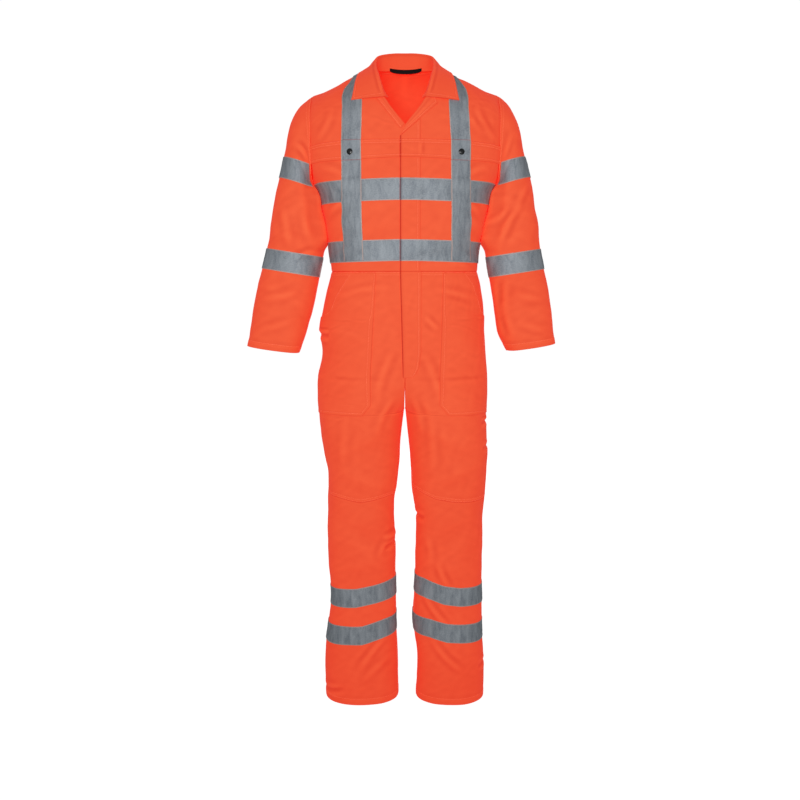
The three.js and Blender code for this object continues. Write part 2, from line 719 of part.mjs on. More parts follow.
// Hanger loop: a black ribbon across the inside of the back neck.
const loopSections = Array.from({ length: 9 }, (unused, k) => {
  const share = k / 8;
  const x = LOOP_RIGHT_END + (LOOP_LEFT_END - LOOP_RIGHT_END) * share;
  const sag = LOOP_SAG * Math.sin(Math.PI * share);
  const y = LOOP_RIGHT_Y + (LOOP_LEFT_Y - LOOP_RIGHT_Y) * share - sag;
  return [0, 1].map((row) => new THREE.Vector3(x, y, LOOP_TOP - sag - LOOP_WIDTH * row));
});
add("hanger_loop", wall(gridSurface(loopSections), -LOOP_THICKNESS / 2, LOOP_THICKNESS / 2), "black");

// Sleeves and their bands. A band runs from the armhole seam round the arm.
const SLEEVE_BANDS = table("side name outerX outerZ innerX innerZ", [
  [-1, "upper", 292, -178, 218, -201],
  [-1, "lower", 340, -393, 206, -414],
  [1, "upper", 292, -177, 216, -198],
  [1, "lower", 336, -394, 204, -414],
]);
const SLEEVE_CLEARANCE = 90;
const BAND_END = 5;
const UNDERARM = -262;
for (const [name, side, rows] of [["right", -1, RIGHT_SLEEVE], ["left", 1, LEFT_SLEEVE]]) {
  const surface = surfaceOf(sleeveLoops(rows, side), SLEEVE_FOLDS);
  const edge = ARMHOLE + SEAM;
  const outsideOutline = [
    [side * edge, TOP],
    [side * edge, -239],
    [side * 150, -300],
    [side * 150, -800],
    [side * 500, -800],
    [side * 500, TOP],
  ];
  const outside = frontCutter(outsideOutline, -FAR, FAR);
  add("sleeve_" + name, wall(surface, -CLOTH, 0).intersect(outside), "cloth");
  const armholeEdge = frontCutter(rectangle(-edge - BAND_END, UNDERARM, edge + BAND_END, TOP), -FAR, FAR);
  const tape = wall(surface, FIRST_LAYER, FIRST_LAYER + TAPE).intersect(outside).subtract(armholeEdge);
  for (const band of SLEEVE_BANDS.filter((row) => row.side === side)) {
    const slopeX = band.outerX - band.innerX;
    const slopeZ = band.outerZ - band.innerZ;
    const length = Math.hypot(slopeX, slopeZ);
    const downX = (slopeZ / length) * TAPE_WIDTH;
    const downZ = (-slopeX / length) * TAPE_WIDTH;
    const reach = SLEEVE_CLEARANCE / length;
    const outer = [band.outerX + slopeX * reach, band.outerZ + slopeZ * reach];
    const inner = [band.innerX - slopeX * reach, band.innerZ - slopeZ * reach];
    const corners = [outer, inner, [inner[0] + downX, inner[1] + downZ], [outer[0] + downX, outer[1] + downZ]];
    const outline = corners.map(([x, z]) => [side * x, z]);
    add("sleeve_band_" + band.name + "_" + name, tape.intersect(frontCutter(outline, -FAR, FAR)), "tape");
  }
}

// Legs: front thigh, front shin below the knee seam, and one back panel each.
const KNEE_RIGHT = table("x z", [[-260, -1006], [-171, -1010], [-112, -1021], [-50, -1010], [0, -1004]]);
const KNEE_LEFT = table("x z", [[0, -990], [33, -996], [76, -1013], [130, -1021], [185, -1021], [260, -1020]]);
const UPPER_LEG_BAND_RIGHT = table("x z", [[-240, -1264], [-160, -1256], [-125, -1254], [-51, -1239], [-5, -1230]]);
const UPPER_LEG_BAND_LEFT = table("x z", [[5, -1227], [50, -1230], [100, -1246], [142, -1252], [240, -1255]]);
const LOWER_LEG_BAND_RIGHT = table("x z", [[-240, -1362], [-160, -1356], [-110, -1354], [-51, -1338], [-5, -1331]]);
const LOWER_LEG_BAND_LEFT = table("x z", [[5, -1333], [66, -1337], [110, -1348], [184, -1353], [240, -1355]]);
const POCKET_RIGHT = [
  [-69, -453], [-128, -453], [-150, -484], [-168, -512], [-182, -545], [-230, -578],
  [-230, -801], [-146, -795], [-104, -795], [-83, -770], [-83, -703], [-75, -556],
];
const POCKET_LEFT = [
  [90, -453], [143, -453], [163, -482], [178, -525], [186, -552], [230, -576],
  [230, -799], [147, -792], [107, -790], [84, -769], [84, -703], [88, -554],
];
const INSEAM_FORWARD = 24;
const INSEAM_START = 100;
const legs = [
  ["right", -1, RIGHT_LEG, KNEE_RIGHT, POCKET_RIGHT, UPPER_LEG_BAND_RIGHT, LOWER_LEG_BAND_RIGHT],
  ["left", 1, LEFT_LEG, KNEE_LEFT, POCKET_LEFT, UPPER_LEG_BAND_LEFT, LOWER_LEG_BAND_LEFT],
];
for (const [name, side, rows, knee, pocket, upperBand, lowerBand] of legs) {
  const surface = surfaceOf(legLoops(rows, name), LEG_FOLDS);
  const layers = { cloth: wall(surface, -CLOTH, 0), first: wall(surface, FIRST_LAYER, FIRST_LAYER + TAPE) };
  const seamFront = [[side * FAR, -SEAM], [side * INSEAM_START, -SEAM], [side * SEAM, -INSEAM_FORWARD - SEAM]];
  const seamBack = seamFront.map(([x, y]) => [x, y + 2 * SEAM]);
  const inFront = topCutter([...seamFront, [side * SEAM, -FAR], [side * FAR, -FAR]], HEM - 9, WAIST_SEAM - SEAM);
  const behind = topCutter([...seamBack, [side * SEAM, FAR], [side * FAR, FAR]], HEM - 9, WAIST_SEAM - SEAM);
  const kneeLine = knee.map((row) => [row.x, row.z]);
  const thighOutline = [...kneeLine, [kneeLine[kneeLine.length - 1][0], TOP], [kneeLine[0][0], TOP]];
  const aboveKnee = frontCutter(thighOutline, -FAR, FAR);
  const lowered = kneeLine.map(([x, z]) => [x, z - GAP]);
  const shinOutline = [...lowered, [lowered[lowered.length - 1][0], HEM - 9], [lowered[0][0], HEM - 9]];
  const belowKnee = frontCutter(shinOutline, -FAR, FAR);
  const front = layers.cloth.intersect(inFront);
  add("thigh_front_" + name, front.intersect(aboveKnee), "cloth");
  add("shin_front_" + name, front.intersect(belowKnee), "cloth");
  add("leg_back_" + name, layers.cloth.intersect(behind), "cloth");
  add("hip_pocket_" + name, layers.first.intersect(inFront).intersect(frontCutter(pocket, -FAR, -SEAM)), "cloth");
  for (const [band, upper] of [["upper", upperBand], ["lower", lowerBand]]) {
    const low = upper[0].x;
    const high = upper[upper.length - 1].x;
    const ring = layers.first.intersect(frontCutter(bandOutline(upper, TAPE_WIDTH, low, high, 0), -FAR, FAR));
    add("leg_band_" + band + "_front_" + name, ring.intersect(inFront), "tape");
    add("leg_band_" + band + "_back_" + name, ring.intersect(behind), "tape");
  }
  if (name === "left") {
    const fly = [
      [CLOSURE_X, WAIST_SEAM - SEAM], [-5, -702], [0, -703], [14, -701], [26, -693],
      [33, -678], [FLY_WIDTH_X, -640], [FLY_WIDTH_X, WAIST_SEAM - SEAM],
    ];
    add("placket_lower", layers.first.intersect(frontCutter(fly, -FAR, -SEAM)), "cloth");
  }
}

export default group;
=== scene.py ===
import math

import bpy
import numpy as np
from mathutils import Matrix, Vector


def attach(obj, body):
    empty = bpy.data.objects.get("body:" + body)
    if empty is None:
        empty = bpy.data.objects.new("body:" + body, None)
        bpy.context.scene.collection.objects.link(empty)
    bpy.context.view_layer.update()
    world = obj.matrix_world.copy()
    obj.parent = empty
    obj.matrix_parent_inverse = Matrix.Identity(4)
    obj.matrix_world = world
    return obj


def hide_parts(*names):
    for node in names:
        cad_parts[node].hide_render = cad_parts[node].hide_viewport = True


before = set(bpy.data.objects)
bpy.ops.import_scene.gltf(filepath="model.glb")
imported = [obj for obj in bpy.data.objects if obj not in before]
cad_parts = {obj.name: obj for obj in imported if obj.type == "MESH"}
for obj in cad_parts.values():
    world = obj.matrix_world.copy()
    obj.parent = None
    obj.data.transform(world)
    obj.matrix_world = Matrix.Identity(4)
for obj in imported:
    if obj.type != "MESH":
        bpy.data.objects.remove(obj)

bl_info = {
    "name": "Boiler suit",
    "version": (1, 0, 0),
    "blender": (4, 5, 0),
    "location": "3D View > Sidebar > Boiler suit",
    "description": "Sews the cloth, tape and fastenings of a boiler suit on its solids",
    "category": "Object",
}

MM = 0.001
BODY = "root"

# Levels and section powers of the garment, in millimetres. 2 is an ellipse and more is squarer.
WAIST = -450.0
DOME = -110.0
FLY_END = -706.0
CROTCH = -794.0
HEM = -1570.0
ARMHOLE = 222.0
RIDGE_Y = 5.0
TORSO_POWER = 2.5
LEG_POWER = 2.3
SLEEVE_POWER = 2.2
CHEST_POWER = 1.9
UPPER_BACK_POWER = 2.8

# Distance along X and height of the shoulder ridge.
SHOULDER = np.array([(0, 48), (75, 28), (132, 3.5), (193, -24), (230, -37), (260, -53)], float)

# Height, right edge, left edge, front depth and back depth.
TORSO = np.array([
    (-450, -181, 178, -108, 92), (-397, -187, 182, -112, 99), (-348, -191, 190, -116, 106),
    (-300, -203, 203, -119, 112), (-265, -209, 209, -121, 116), (-238, -222, 222, -121, 118),
    (-210, -235, 235, -120, 120), (-165, -243, 243, -118, 121), (-110, -245, 245, -114, 119),
], float)
SEAT = np.array([
    (-706, -217, 206, -111, 114), (-645, -206, 203, -112, 116), (-594, -211, 198, -114, 113),
    (-545, -203, 196, -112, 108), (-474, -188, 185, -111, 98), (-450, -181, 178, -108, 92),
], float)

# Height, outer edge, inner edge, front depth and back depth below the crotch.
RIGHT_LEG = np.array([
    (-1570, -209, -17, -70, 71), (-1436, -210, -17, -68, 68), (-1366, -202, -20, -64, 70),
    (-1290, -195, -22, -62, 70), (-1220, -197, -25, -60, 74), (-1140, -199, -25, -66, 76),
    (-1070, -200, -25, -74, 72), (-1014, -197, -25, -78, 70), (-955, -196, -18, -82, 80),
    (-850, -212, -7, -97, 97), (-794, -216, 0, -104, 105),
], float)
LEFT_LEG = np.array([
    (-1570, 212, 31, -70, 71), (-1436, 210, 32, -68, 68), (-1366, 206, 23, -64, 70),
    (-1290, 205, 25, -62, 70), (-1226, 204, 28, -60, 74), (-1140, 203, 30, -65, 76),
    (-1070, 204, 30, -74, 72), (-1014, 208, 23, -78, 70), (-955, 210, 19, -84, 80),
    (-850, 208, 6, -97, 97), (-794, 205, 0, -104, 105),
], float)

# Sleeve rings from the cuff up: outer X and Z, inner X and Z, the middle and half depth along Y.
RIGHT_SLEEVE = np.array([
    (391, -630, 262, -648, -35, 46), (383, -590, 246, -607, -32, 48), (373, -543, 234, -559, -26, 50),
    (352, -446, 211, -463, -15, 53), (339, -397, 202, -414, -11, 55), (328, -348, 194.5, -368, -8, 58),
    (322, -300, 200, -325, -5, 61), (311, -252, 208, -290, -3, 64), (297, -205, 215, -264, -1, 66),
    (286, -158, 219.5, -252, 0, 68), (270, -88, 221, -245, 1, 67), (245, -52, 222, -241.5, 2, 65),
    (222.15, -34.5, 222.15, -239, 1, 63),
], float)
LEFT_SLEEVE = np.array([
    (371, -624, 252, -643, -36, 46), (364, -586, 232, -603, -33, 48), (358, -542, 225, -557, -27, 50),
    (343, -446, 207, -462, -15, 53), (333, -397, 199, -414, -11, 55), (326, -348, 193.5, -368, -8, 58),
    (318, -300, 200, -325, -5, 61), (311, -252, 208, -290, -3, 64), (298, -205, 215, -264, -1, 66),
    (285, -158, 219.5, -252, 0, 68), (268, -88, 221, -245, 1, 67), (246, -52, 222, -241.5, 2, 65),
    (222.15, -34.5, 222.15, -239, 1, 63),
], float)
LEG_ROWS = {"right": RIGHT_LEG, "left": LEFT_LEG}
SLEEVE_ROWS = {"right": RIGHT_SLEEVE, "left": LEFT_SLEEVE}
SIDES = {"right": -1, "left": 1}

# The largest folds, the same as in the solids: middle X, side, middle Z, degrees from level,
# half length, half width and height.
LARGE_FOLDS = {
    "body": [
        (-150, -1, -335, 24, 70, 24, 5), (150, -1, -330, -30, 75, 24, 5), (70, -1, -420, 8, 80, 18, -4),
        (-60, -1, -345, 12, 60, 20, 4), (-95, 1, -330, 35, 100, 26, 5), (100, 1, -345, -30, 100, 26, 5),
        (-120, -1, -868, 30, 90, 26, 6), (105, -1, -850, -24, 90, 26, 6), (-95, -1, -965, -22, 80, 24, 6),
        (120, -1, -950, 26, 80, 24, 6), (-110, -1, -1110, -35, 80, 24, -5), (115, -1, -1120, 32, 80, 24, -5),
        (-110, -1, -1190, 12, 85, 22, 4), (110, -1, -1196, -14, 85, 22, 4), (-115, 1, -1010, 14, 90, 26, 6),
        (115, 1, -1020, -12, 90, 26, 6), (-115, 1, -880, -30, 90, 28, 5), (115, 1, -890, 28, 90, 28, 5),
    ],
    "sleeve": [
        (-262, -1, -305, 34, 60, 20, 5), (-278, -1, -370, -30, 60, 20, 5), (-300, -1, -505, -24, 60, 22, 5),
        (262, -1, -300, -34, 60, 20, 5), (275, -1, -365, 30, 60, 20, 5), (292, -1, -510, 26, 60, 22, 5),
    ],
}

# Main creases: start X and Z, end X and Z, bow, half width, height and side, where side 0 is both the front and the
# back.
CREASES = {
    "body": [
        (38, -635, 87, -765, 6, 11, 2.8, -1), (-22, -623, -72, -760, -6, 11, 2.6, -1),
        (-24, -747, -75, -846, -5, 10, 2.4, -1), (10, -738, 47, -856, 5, 10, 2.4, -1),
        (59, -787, 69, -957, 4, 12, 2.2, -1), (-141, -783, -153, -959, -4, 13, 2.0, -1),
        (-68, -1176, -27, -1108, 5, 9, 2.6, -1), (-119, -1476, -43, -1382, 6, 9, 2.8, -1),
        (-111, -1507, -28, -1432, 5, 10, 2.0, -1), (85, -1180, 116, -1255, -4, 8, 2.4, -1),
        (47, -1268, 112, -1355, -5, 8, 3.0, -1), (66, -1385, 152, -1476, -7, 9, 2.8, -1),
        (54, -1107, 69, -1195, 3, 9, 1.8, -1), (159, -73, 211, -153, -5, 9, 2.6, -1),
        (140, -88, 187, -141, -4, 8, 1.6, -1), (-165, -77, -207, -153, 5, 9, 2.0, -1),
        (-202, -210, -137, -232, 4, 8, 1.8, -1), (196, -210, 141, -232, -4, 8, 1.8, -1),
        (-186, -317, -124, -285, 4, 9, 2.2, -1), (180, -317, 124, -290, -4, 9, 2.2, -1),
        (-169, -419, -110, -387, 4, 8, 1.8, -1), (167, -428, 110, -401, -4, 8, 1.8, -1),
        (-178, -517, -31, -484, 6, 9, 1.6, -1), (177, -522, 64, -493, -6, 9, 1.8, -1),
        (47, -554, 83, -587, -3, 7, 1.6, -1), (-223, -604, -183, -604, 0, 6, -4.5, 0),
        (188, -819, 228, -824, 0, 5, -4, 0), (189, -884, 228, -884, 0, 5, -3.5, 0),
        (-54, -1146, -17, -1141, 0, 5, -4, 0), (-59, -1117, -17, -1117, 0, 8, 3, 0),
        (9, -1068, 51, -1068, 0, 7, -4, 0), (-222, -1549, -156, -1526, 0, 7, -3, 0),
        (190, -1471, 226, -1471, 0, 6, -3, 0),
        (150, -90, 205, -170, 6, 10, 2.6, 1), (-145, -84, -208, -160, -5, 10, 2.4, 1),
        (-190, -250, -90, -300, -8, 11, 2.6, 1), (185, -262, 80, -318, 9, 11, 2.4, 1),
        (-175, -390, -60, -350, 8, 10, 2.2, 1), (160, -405, 40, -360, -7, 10, 2.4, 1),
        (-20, -470, -30, -640, 5, 13, 2.2, 1), (30, -480, 52, -650, -6, 12, 2.0, 1),
        (-60, -690, -165, -760, -10, 12, 3.0, 1), (55, -700, 160, -752, 9, 12, 2.8, 1),
        (-25, -770, -110, -850, 7, 11, 3.0, 1), (28, -780, 120, -872, -8, 11, 2.8, 1),
        (-60, -985, -170, -1045, 7, 10, 3.0, 1), (50, -1000, 165, -1030, -6, 10, 3.0, 1),
        (-50, -1075, -160, -1040, -6, 10, 2.6, 1), (60, -1090, 170, -1062, 6, 10, 2.6, 1),
        (-55, -1390, -150, -1480, 6, 10, 2.6, 1), (60, -1400, 160, -1462, -5, 10, 2.4, 1),
    ],
    "sleeve": [
        (-244, -300, -217, -399, -4, 10, 3.2, -1), (-293, -292, -276, -398, 3, 9, 2.4, -1),
        (-231, -249, -208, -296, -3, 7, 2.6, -1), (-255, -153, -228, -192, 3, 7, 2.8, -1),
        (-273, -427, -210, -399, 3, 8, 2.2, -1), (-346, -518, -254, -494, -4, 10, 2.0, -1),
        (-361, -590, -264, -561, -4, 10, 1.6, -1), (273, -288, 220, -403, -5, 9, 3.4, -1),
        (293, -239, 261, -309, -3, 9, 2.2, -1), (246, -295, 205, -342, 3, 8, 2.8, -1),
        (232, -461, 234, -557, -2, 8, -3.0, -1), (232, -542, 250, -609, -2, 8, -2.4, -1),
        (247, -126, 228, -190, 2, 7, 2.2, -1), (339, -518, 259, -499, 4, 10, 1.8, -1),
        (347, -590, 269, -566, 4, 10, 1.5, -1),
        (-240, -120, -280, -230, 5, 9, 2.6, 1), (-215, -290, -300, -350, -6, 9, 2.8, 1),
        (-220, -400, -325, -452, 5, 9, 3.0, 1), (-330, -380, -225, -440, 5, 9, 2.2, 1),
        (-250, -560, -350, -520, 5, 10, 2.2, 1), (242, -118, 285, -236, -5, 9, 2.4, 1),
        (214, -300, 305, -362, 6, 9, 2.8, 1), (218, -412, 322, -455, -5, 9, 2.8, 1),
        (325, -372, 224, -436, -5, 9, 2.2, 1), (246, -552, 345, -515, -5, 10, 2.0, 1),
    ],
}


# Shared arithmetic.
def through(rows, places, column, flat_end=False):
    """A smooth line through a table: cubic pieces whose slope at each row is the parabola's
    through its neighbours. With flat_end, the slope at the last row is zero."""
    knots, values = rows[:, 0], rows[:, column]
    slopes = np.gradient(values, knots)
    if flat_end:
        slopes[-1] = 0
    k = np.clip(np.searchsorted(knots, places) - 1, 0, len(knots) - 2)
    step = knots[k + 1] - knots[k]
    s = (places - knots[k]) / step
    start = values[k] * (1 + 2 * s) * (1 - s) ** 2 + slopes[k] * step * s * (1 - s) ** 2
    return start + values[k + 1] * s * s * (3 - 2 * s) - slopes[k + 1] * step * s * s * (1 - s)


def rounded(angle, power):
    """Cosine and sine of an angle, each divided by the length that the power's norm gives them."""
    c, s = np.cos(angle), np.sin(angle)
    size = (np.abs(c) ** power + np.abs(s) ** power) ** (1 / power)
    return c / size, s / size


def angle_at(share, power):
    """The angle whose rounded cosine is the given share, from 0 at 1 to half a turn at -1."""
    share = np.clip(share, -1, 1)
    rest = np.maximum(0, 1 - np.abs(share) ** power) ** (1 / power)
    return np.arctan2(rest, share)


def smooth(x):
    """0 below 0, 1 above 1, and 3x^2 - 2x^3 between."""
    x = np.clip(x, 0, 1)
    return x * x * (3 - 2 * x)


def halved(inside, low, high, rounds=26):
    """The place between low, where inside() is true, and high, where it is false, by halving."""
    for _ in range(rounds):
        middle = (low + high) / 2
        hit = inside(middle)
        low, high = np.where(hit, middle, low), np.where(hit, high, middle)
    return (low + high) / 2


def straight(rows, places, key, value):
    """Straight lines between the rows of a table."""
    table = np.array(sorted((row[key], row[value]) for row in rows), float)
    return np.interp(places, table[:, 0], table[:, 1])


# The garment's surfaces.
def torso_base(angle, rise):
    """Point of the torso. rise 0 to 1 goes up the level sections from the waist seam, and each
    is a rounded square. From 1 to 2 the depth closes over the shoulders along a rounded quarter.
    Above 2, on the back, the surface goes on forward over the ridge to the shoulder seam."""
    z = WAIST + (DOME - WAIST) * np.minimum(rise, 1)
    low, high, front, back = (through(TORSO, z, k, True) for k in (1, 2, 3, 4))
    across, along = rounded(angle, TORSO_POWER)
    x = (low + high) / 2 + (high - low) / 2 * across
    y = np.where(along < 0, -front, back) * along
    power = np.where(along < 0, CHEST_POWER, UPPER_BACK_POWER)
    out, up = rounded(np.clip(rise - 1, 0, 1) * np.pi / 2, power)
    ridge = through(SHOULDER, np.abs(x), 1) - DOME
    y = RIDGE_Y + (y - RIDGE_Y) * np.where(rise > 1, out, 1)
    z = z + ridge * np.where(rise > 1, up, 0)
    past = np.where(along < 0, 0, np.maximum(rise - 2, 0)) * 50
    chest = np.abs(front * np.abs(along) - RIDGE_Y)
    drop = 1 - (1 - np.minimum(past / chest, 1) ** CHEST_POWER) ** (1 / CHEST_POWER)
    return np.stack([x, y - past, z - ridge * drop], -1)


def leg_sections(side, z):
    """Middle, half width, front depth and back depth of one leg's loop at a height. Above the fly's
    end it is the whole seat, and from there to the crotch its inner edge slides to the middle."""
    rows = LEG_ROWS[side]
    joined = np.concatenate([rows[:-1, [0, 3, 4]], [[CROTCH, rows[-1, 3], rows[-1, 4]]], SEAT[:, [0, 3, 4]]])
    front, back = through(joined, z, 1), through(joined, z, 2)
    outer_rows = np.concatenate([rows[:, :2], SEAT[:, [0, 1 if side == "right" else 2]]])
    outer = through(outer_rows, z, 1)
    share = np.clip((FLY_END - z) / (FLY_END - CROTCH), 0, 1)
    seat_middle = (through(SEAT, np.maximum(z, FLY_END), 1) + through(SEAT, np.maximum(z, FLY_END), 2)) / 2
    seat_half = (through(SEAT, np.maximum(z, FLY_END), 2) - through(SEAT, np.maximum(z, FLY_END), 1)) / 2
    fork_middle = outer * share / (1 + share) + seat_middle * (1 - share)
    fork_half = np.abs(outer) / (1 + share) + (seat_half - np.abs(outer)) * (1 - share)
    inner = through(rows, np.minimum(z, CROTCH), 2)
    below = z < CROTCH
    middle = np.where(below, (outer + inner) / 2, fork_middle)
    half = np.where(below, np.abs(outer - inner) / 2, fork_half)
    return middle, half, front, back


def leg_base(side, turn, z):
    """Point of a leg. The turn runs from the side seam, 0, round the front, and back the other way."""
    middle, half, front, back = leg_sections(side, z)
    across, along = rounded(turn, LEG_POWER)
    x = middle + SIDES[side] * half * across
    y = np.where(along > 0, front, -back) * along
    return np.stack([x, y, z + 0 * turn], -1)


def sleeve_length(side):
    rows = SLEEVE_ROWS[side]
    centre = (rows[:, 0:2] + rows[:, 2:4]) / 2
    steps = np.hypot(*np.diff(centre, axis=0).T)
    return np.concatenate([[0], np.cumsum(steps)])


def sleeve_base(side, turn, reach):
    """Point of a sleeve. The turn runs from the outside, 0, round the front. The reach is the length
    up from the cuff. Each ring is rounded, and the last ones take the torso's own armhole edge."""
    lengths = sleeve_length(side)
    rows = np.column_stack([lengths, SLEEVE_ROWS[side]])
    ox, oz, ix, iz, middle, depth = (through(rows, reach, k) for k in range(1, 7))
    across, along = rounded(turn, SLEEVE_POWER)
    x = (ox + ix) / 2 + (ox - ix) / 2 * across
    z = (oz + iz) / 2 + (oz - iz) / 2 * across
    y = middle - depth * along
    top, bottom = SLEEVE_ROWS[side][-1, 1], SLEEVE_ROWS[side][-1, 3]
    end_z = (top + bottom) / 2 + (top - bottom) / 2 * across
    end_y = torso_depth(SIDES[side] * ARMHOLE, end_z, np.where(along > 0, -1, 1))
    share = smooth((reach - lengths[-4]) / (lengths[-1] - lengths[-4]))
    y = y + (end_y - (SLEEVE_ROWS[side][-1, 4] - SLEEVE_ROWS[side][-1, 5] * along)) * share
    return np.stack([SIDES[side] * x, y, z], -1)


def torso_angle(x, z, face):
    """The angle of the torso's loop at which X is reached, on the front (-1) or the back (1)."""
    level = np.minimum(z, DOME)
    low, high = through(TORSO, level, 1, True), through(TORSO, level, 2, True)
    return face * angle_at((x - (low + high) / 2) / ((high - low) / 2), TORSO_POWER)


def torso_rise(x, z, face):
    """The rise of the torso at a place in the front view."""
    ridge = through(SHOULDER, np.abs(x), 1) - DOME
    power = CHEST_POWER if face < 0 else UPPER_BACK_POWER
    up = np.clip((z - DOME) / ridge, 0, 1)
    dome = np.arctan2(up, np.maximum(0, 1 - up ** power) ** (1 / power)) / (np.pi / 2)
    return np.where(z < DOME, (z - WAIST) / (DOME - WAIST), 1 + dome)


def torso_depth(x, z, face):
    """Y of the torso at a place in the front view."""
    level = np.minimum(z, DOME)
    low, high, front, back = (through(TORSO, level, k, True) for k in (1, 2, 3, 4))
    share = np.minimum(1, np.abs((x - (low + high) / 2) / ((high - low) / 2)))
    start = np.where(face < 0, front, back) * (1 - share ** TORSO_POWER) ** (1 / TORSO_POWER)
    power = np.where(face < 0, CHEST_POWER, UPPER_BACK_POWER)
    ridge = through(SHOULDER, np.abs(x), 1) - DOME
    up = np.clip((z - DOME) / ridge, 0, 1)
    return np.where(z < DOME, start, RIDGE_Y + (start - RIDGE_Y) * (1 - up ** power) ** (1 / power))


def fold_height(points, group, middle_y=0.0):
    """How far the cloth stands out at its points: the large folds are bells in the front view, and
    each crease is a bell along a bowed line with a valley beside it. Slow waves vary the rest."""
    x, y, z = points[..., 0], points[..., 1], points[..., 2]
    face = np.where(y < middle_y, -1, 1)
    out = np.zeros_like(x)
    for fx, side, fz, degrees, length, width, height in LARGE_FOLDS[group]:
        c, s = math.cos(math.radians(degrees)), math.sin(math.radians(degrees))
        along, across = ((x - fx) * c + (z - fz) * s) / length, ((z - fz) * c - (x - fx) * s) / width
        fade = smooth(0.5 - side * (middle_y - y) / 60)
        out += height * np.exp(-along ** 2 - across ** 2) * fade
    for x0, z0, x1, z1, bow, width, height, side in CREASES[group]:
        length = math.hypot(x1 - x0, z1 - z0)
        c, s = (x1 - x0) / length, (z1 - z0) / length
        t = np.clip(((x - x0) * c + (z - z0) * s) / length, 0, 1)
        d = ((z - z0) * c - (x - x0) * s - bow * 4 * t * (1 - t)) / width
        bell = np.exp(-d * d) - 0.35 * np.exp(-((d - 1.5) / 0.9) ** 2) - 0.2 * np.exp(-((d + 1.7) / 1.1) ** 2)
        out += height * (4 * t * (1 - t)) ** 1.2 * bell * ((face == side) | (side == 0))
    return out + waves(points)


WAVES = np.random.default_rng(11)
WAVE_TABLE = [
    (length, height, *WAVES.normal(size=3), *WAVES.uniform(0, 6.28, 2))
    for length, height in (
        (210, 0.9), (160, 0.8), (125, 0.65), (98, 0.45), (76, 0.28), (60, 0.18),
        (47, 0.12), (37, 0.08), (29, 0.06), (22, 0.04),
    )
]


def waves(points):
    """A sum of slow sines in fixed directions, each bent by the next slower one."""
    out = np.zeros(points.shape[:-1])
    bend = np.zeros(points.shape[:-1])
    for length, height, a, b, c, first, second in WAVE_TABLE:
        size = math.sqrt(a * a + b * b + c * c)
        place = (points @ np.array([a, b, c])) / size * (2 * math.pi / length)
        bend = np.sin(place * 0.6 + second + bend)
        out += height * np.sin(place + first + 1.4 * bend)
    return out


def crossed(point_at, one, two, steps, sign):
    """Point and outward normal at two parameters. The normal is the cross product of small steps."""
    a, b = steps
    first = point_at(one + a, two) - point_at(one - a, two)
    second = point_at(one, two + b) - point_at(one, two - b)
    normal = np.cross(first, second) * sign
    normal /= np.maximum(np.linalg.norm(normal, axis=-1, keepdims=True), 1e-9)
    return point_at(one, two), normal


def torso_at(angle, rise):
    point, normal = crossed(torso_base, angle, rise, (2e-3, 2e-3), 1)
    return point + normal * fold_height(point, "body")[..., None], normal


def leg_at(side, turn, z):
    """Point and normal of a leg with its folds, which flatten where the two legs part."""
    point, normal = crossed(lambda a, b: leg_base(side, a, b), turn, z, (2e-3, 0.4), -SIDES[side])
    parting = np.exp(-((point[..., 0] + 2) / 22) ** 2) * smooth((z + 930) / 60) * smooth((-700 - z) / 40)
    height = fold_height(point, "body") * (1 - parting) - 1.5 * parting
    return point + normal * height[..., None], normal


def arm_pressed(side, turn, point):
    """The inside of the arm lies against the torso: it moves in by up to 14 mm between the armhole
    and the elbow, and stops 3 mm clear of the torso's own loop at that height."""
    x, y, z = SIDES[side] * point[..., 0], point[..., 1], point[..., 2]
    inner = smooth((-rounded(turn, SLEEVE_POWER)[0] - 0.5) / 0.35)
    reach = 14 * inner * smooth((-232 - z) / 30) * smooth((z + 402) / 35)
    low, high, front, back = (through(TORSO, np.clip(z, WAIST, DOME), k, True) for k in (1, 2, 3, 4))
    depth = np.minimum(1, np.abs(y) / np.where(y < 0, -front, back))
    edge = SIDES[side] * (low + high) / 2 + (high - low) / 2 * (1 - depth ** TORSO_POWER) ** (1 / TORSO_POWER)
    moved = np.maximum(x - reach, np.minimum(edge + 3, x))
    return np.stack([SIDES[side] * moved, y, z], -1)


def sleeve_at(side, turn, reach):
    point, normal = crossed(lambda a, b: sleeve_base(side, a, b), turn, reach, (2e-3, 0.4), -SIDES[side])
    lengths = sleeve_length(side)
    rows = np.column_stack([lengths, SLEEVE_ROWS[side]])
    middle = through(rows, reach, 5)
    own = fold_height(point, "sleeve", middle) - waves(point)
    height = own * smooth((lengths[-1] - reach) / 40) + waves(point)
    return arm_pressed(side, turn, point + normal * height[..., None]), normal


# Sheets.
# How an edge is finished: the rows of thread in from it, in millimetres.
THREAD_ROWS = {"seam": [], "felled": [2.2, 8.0], "hem": [17.0], "folded": [6.0], "taped": [2.4], "bare": []}


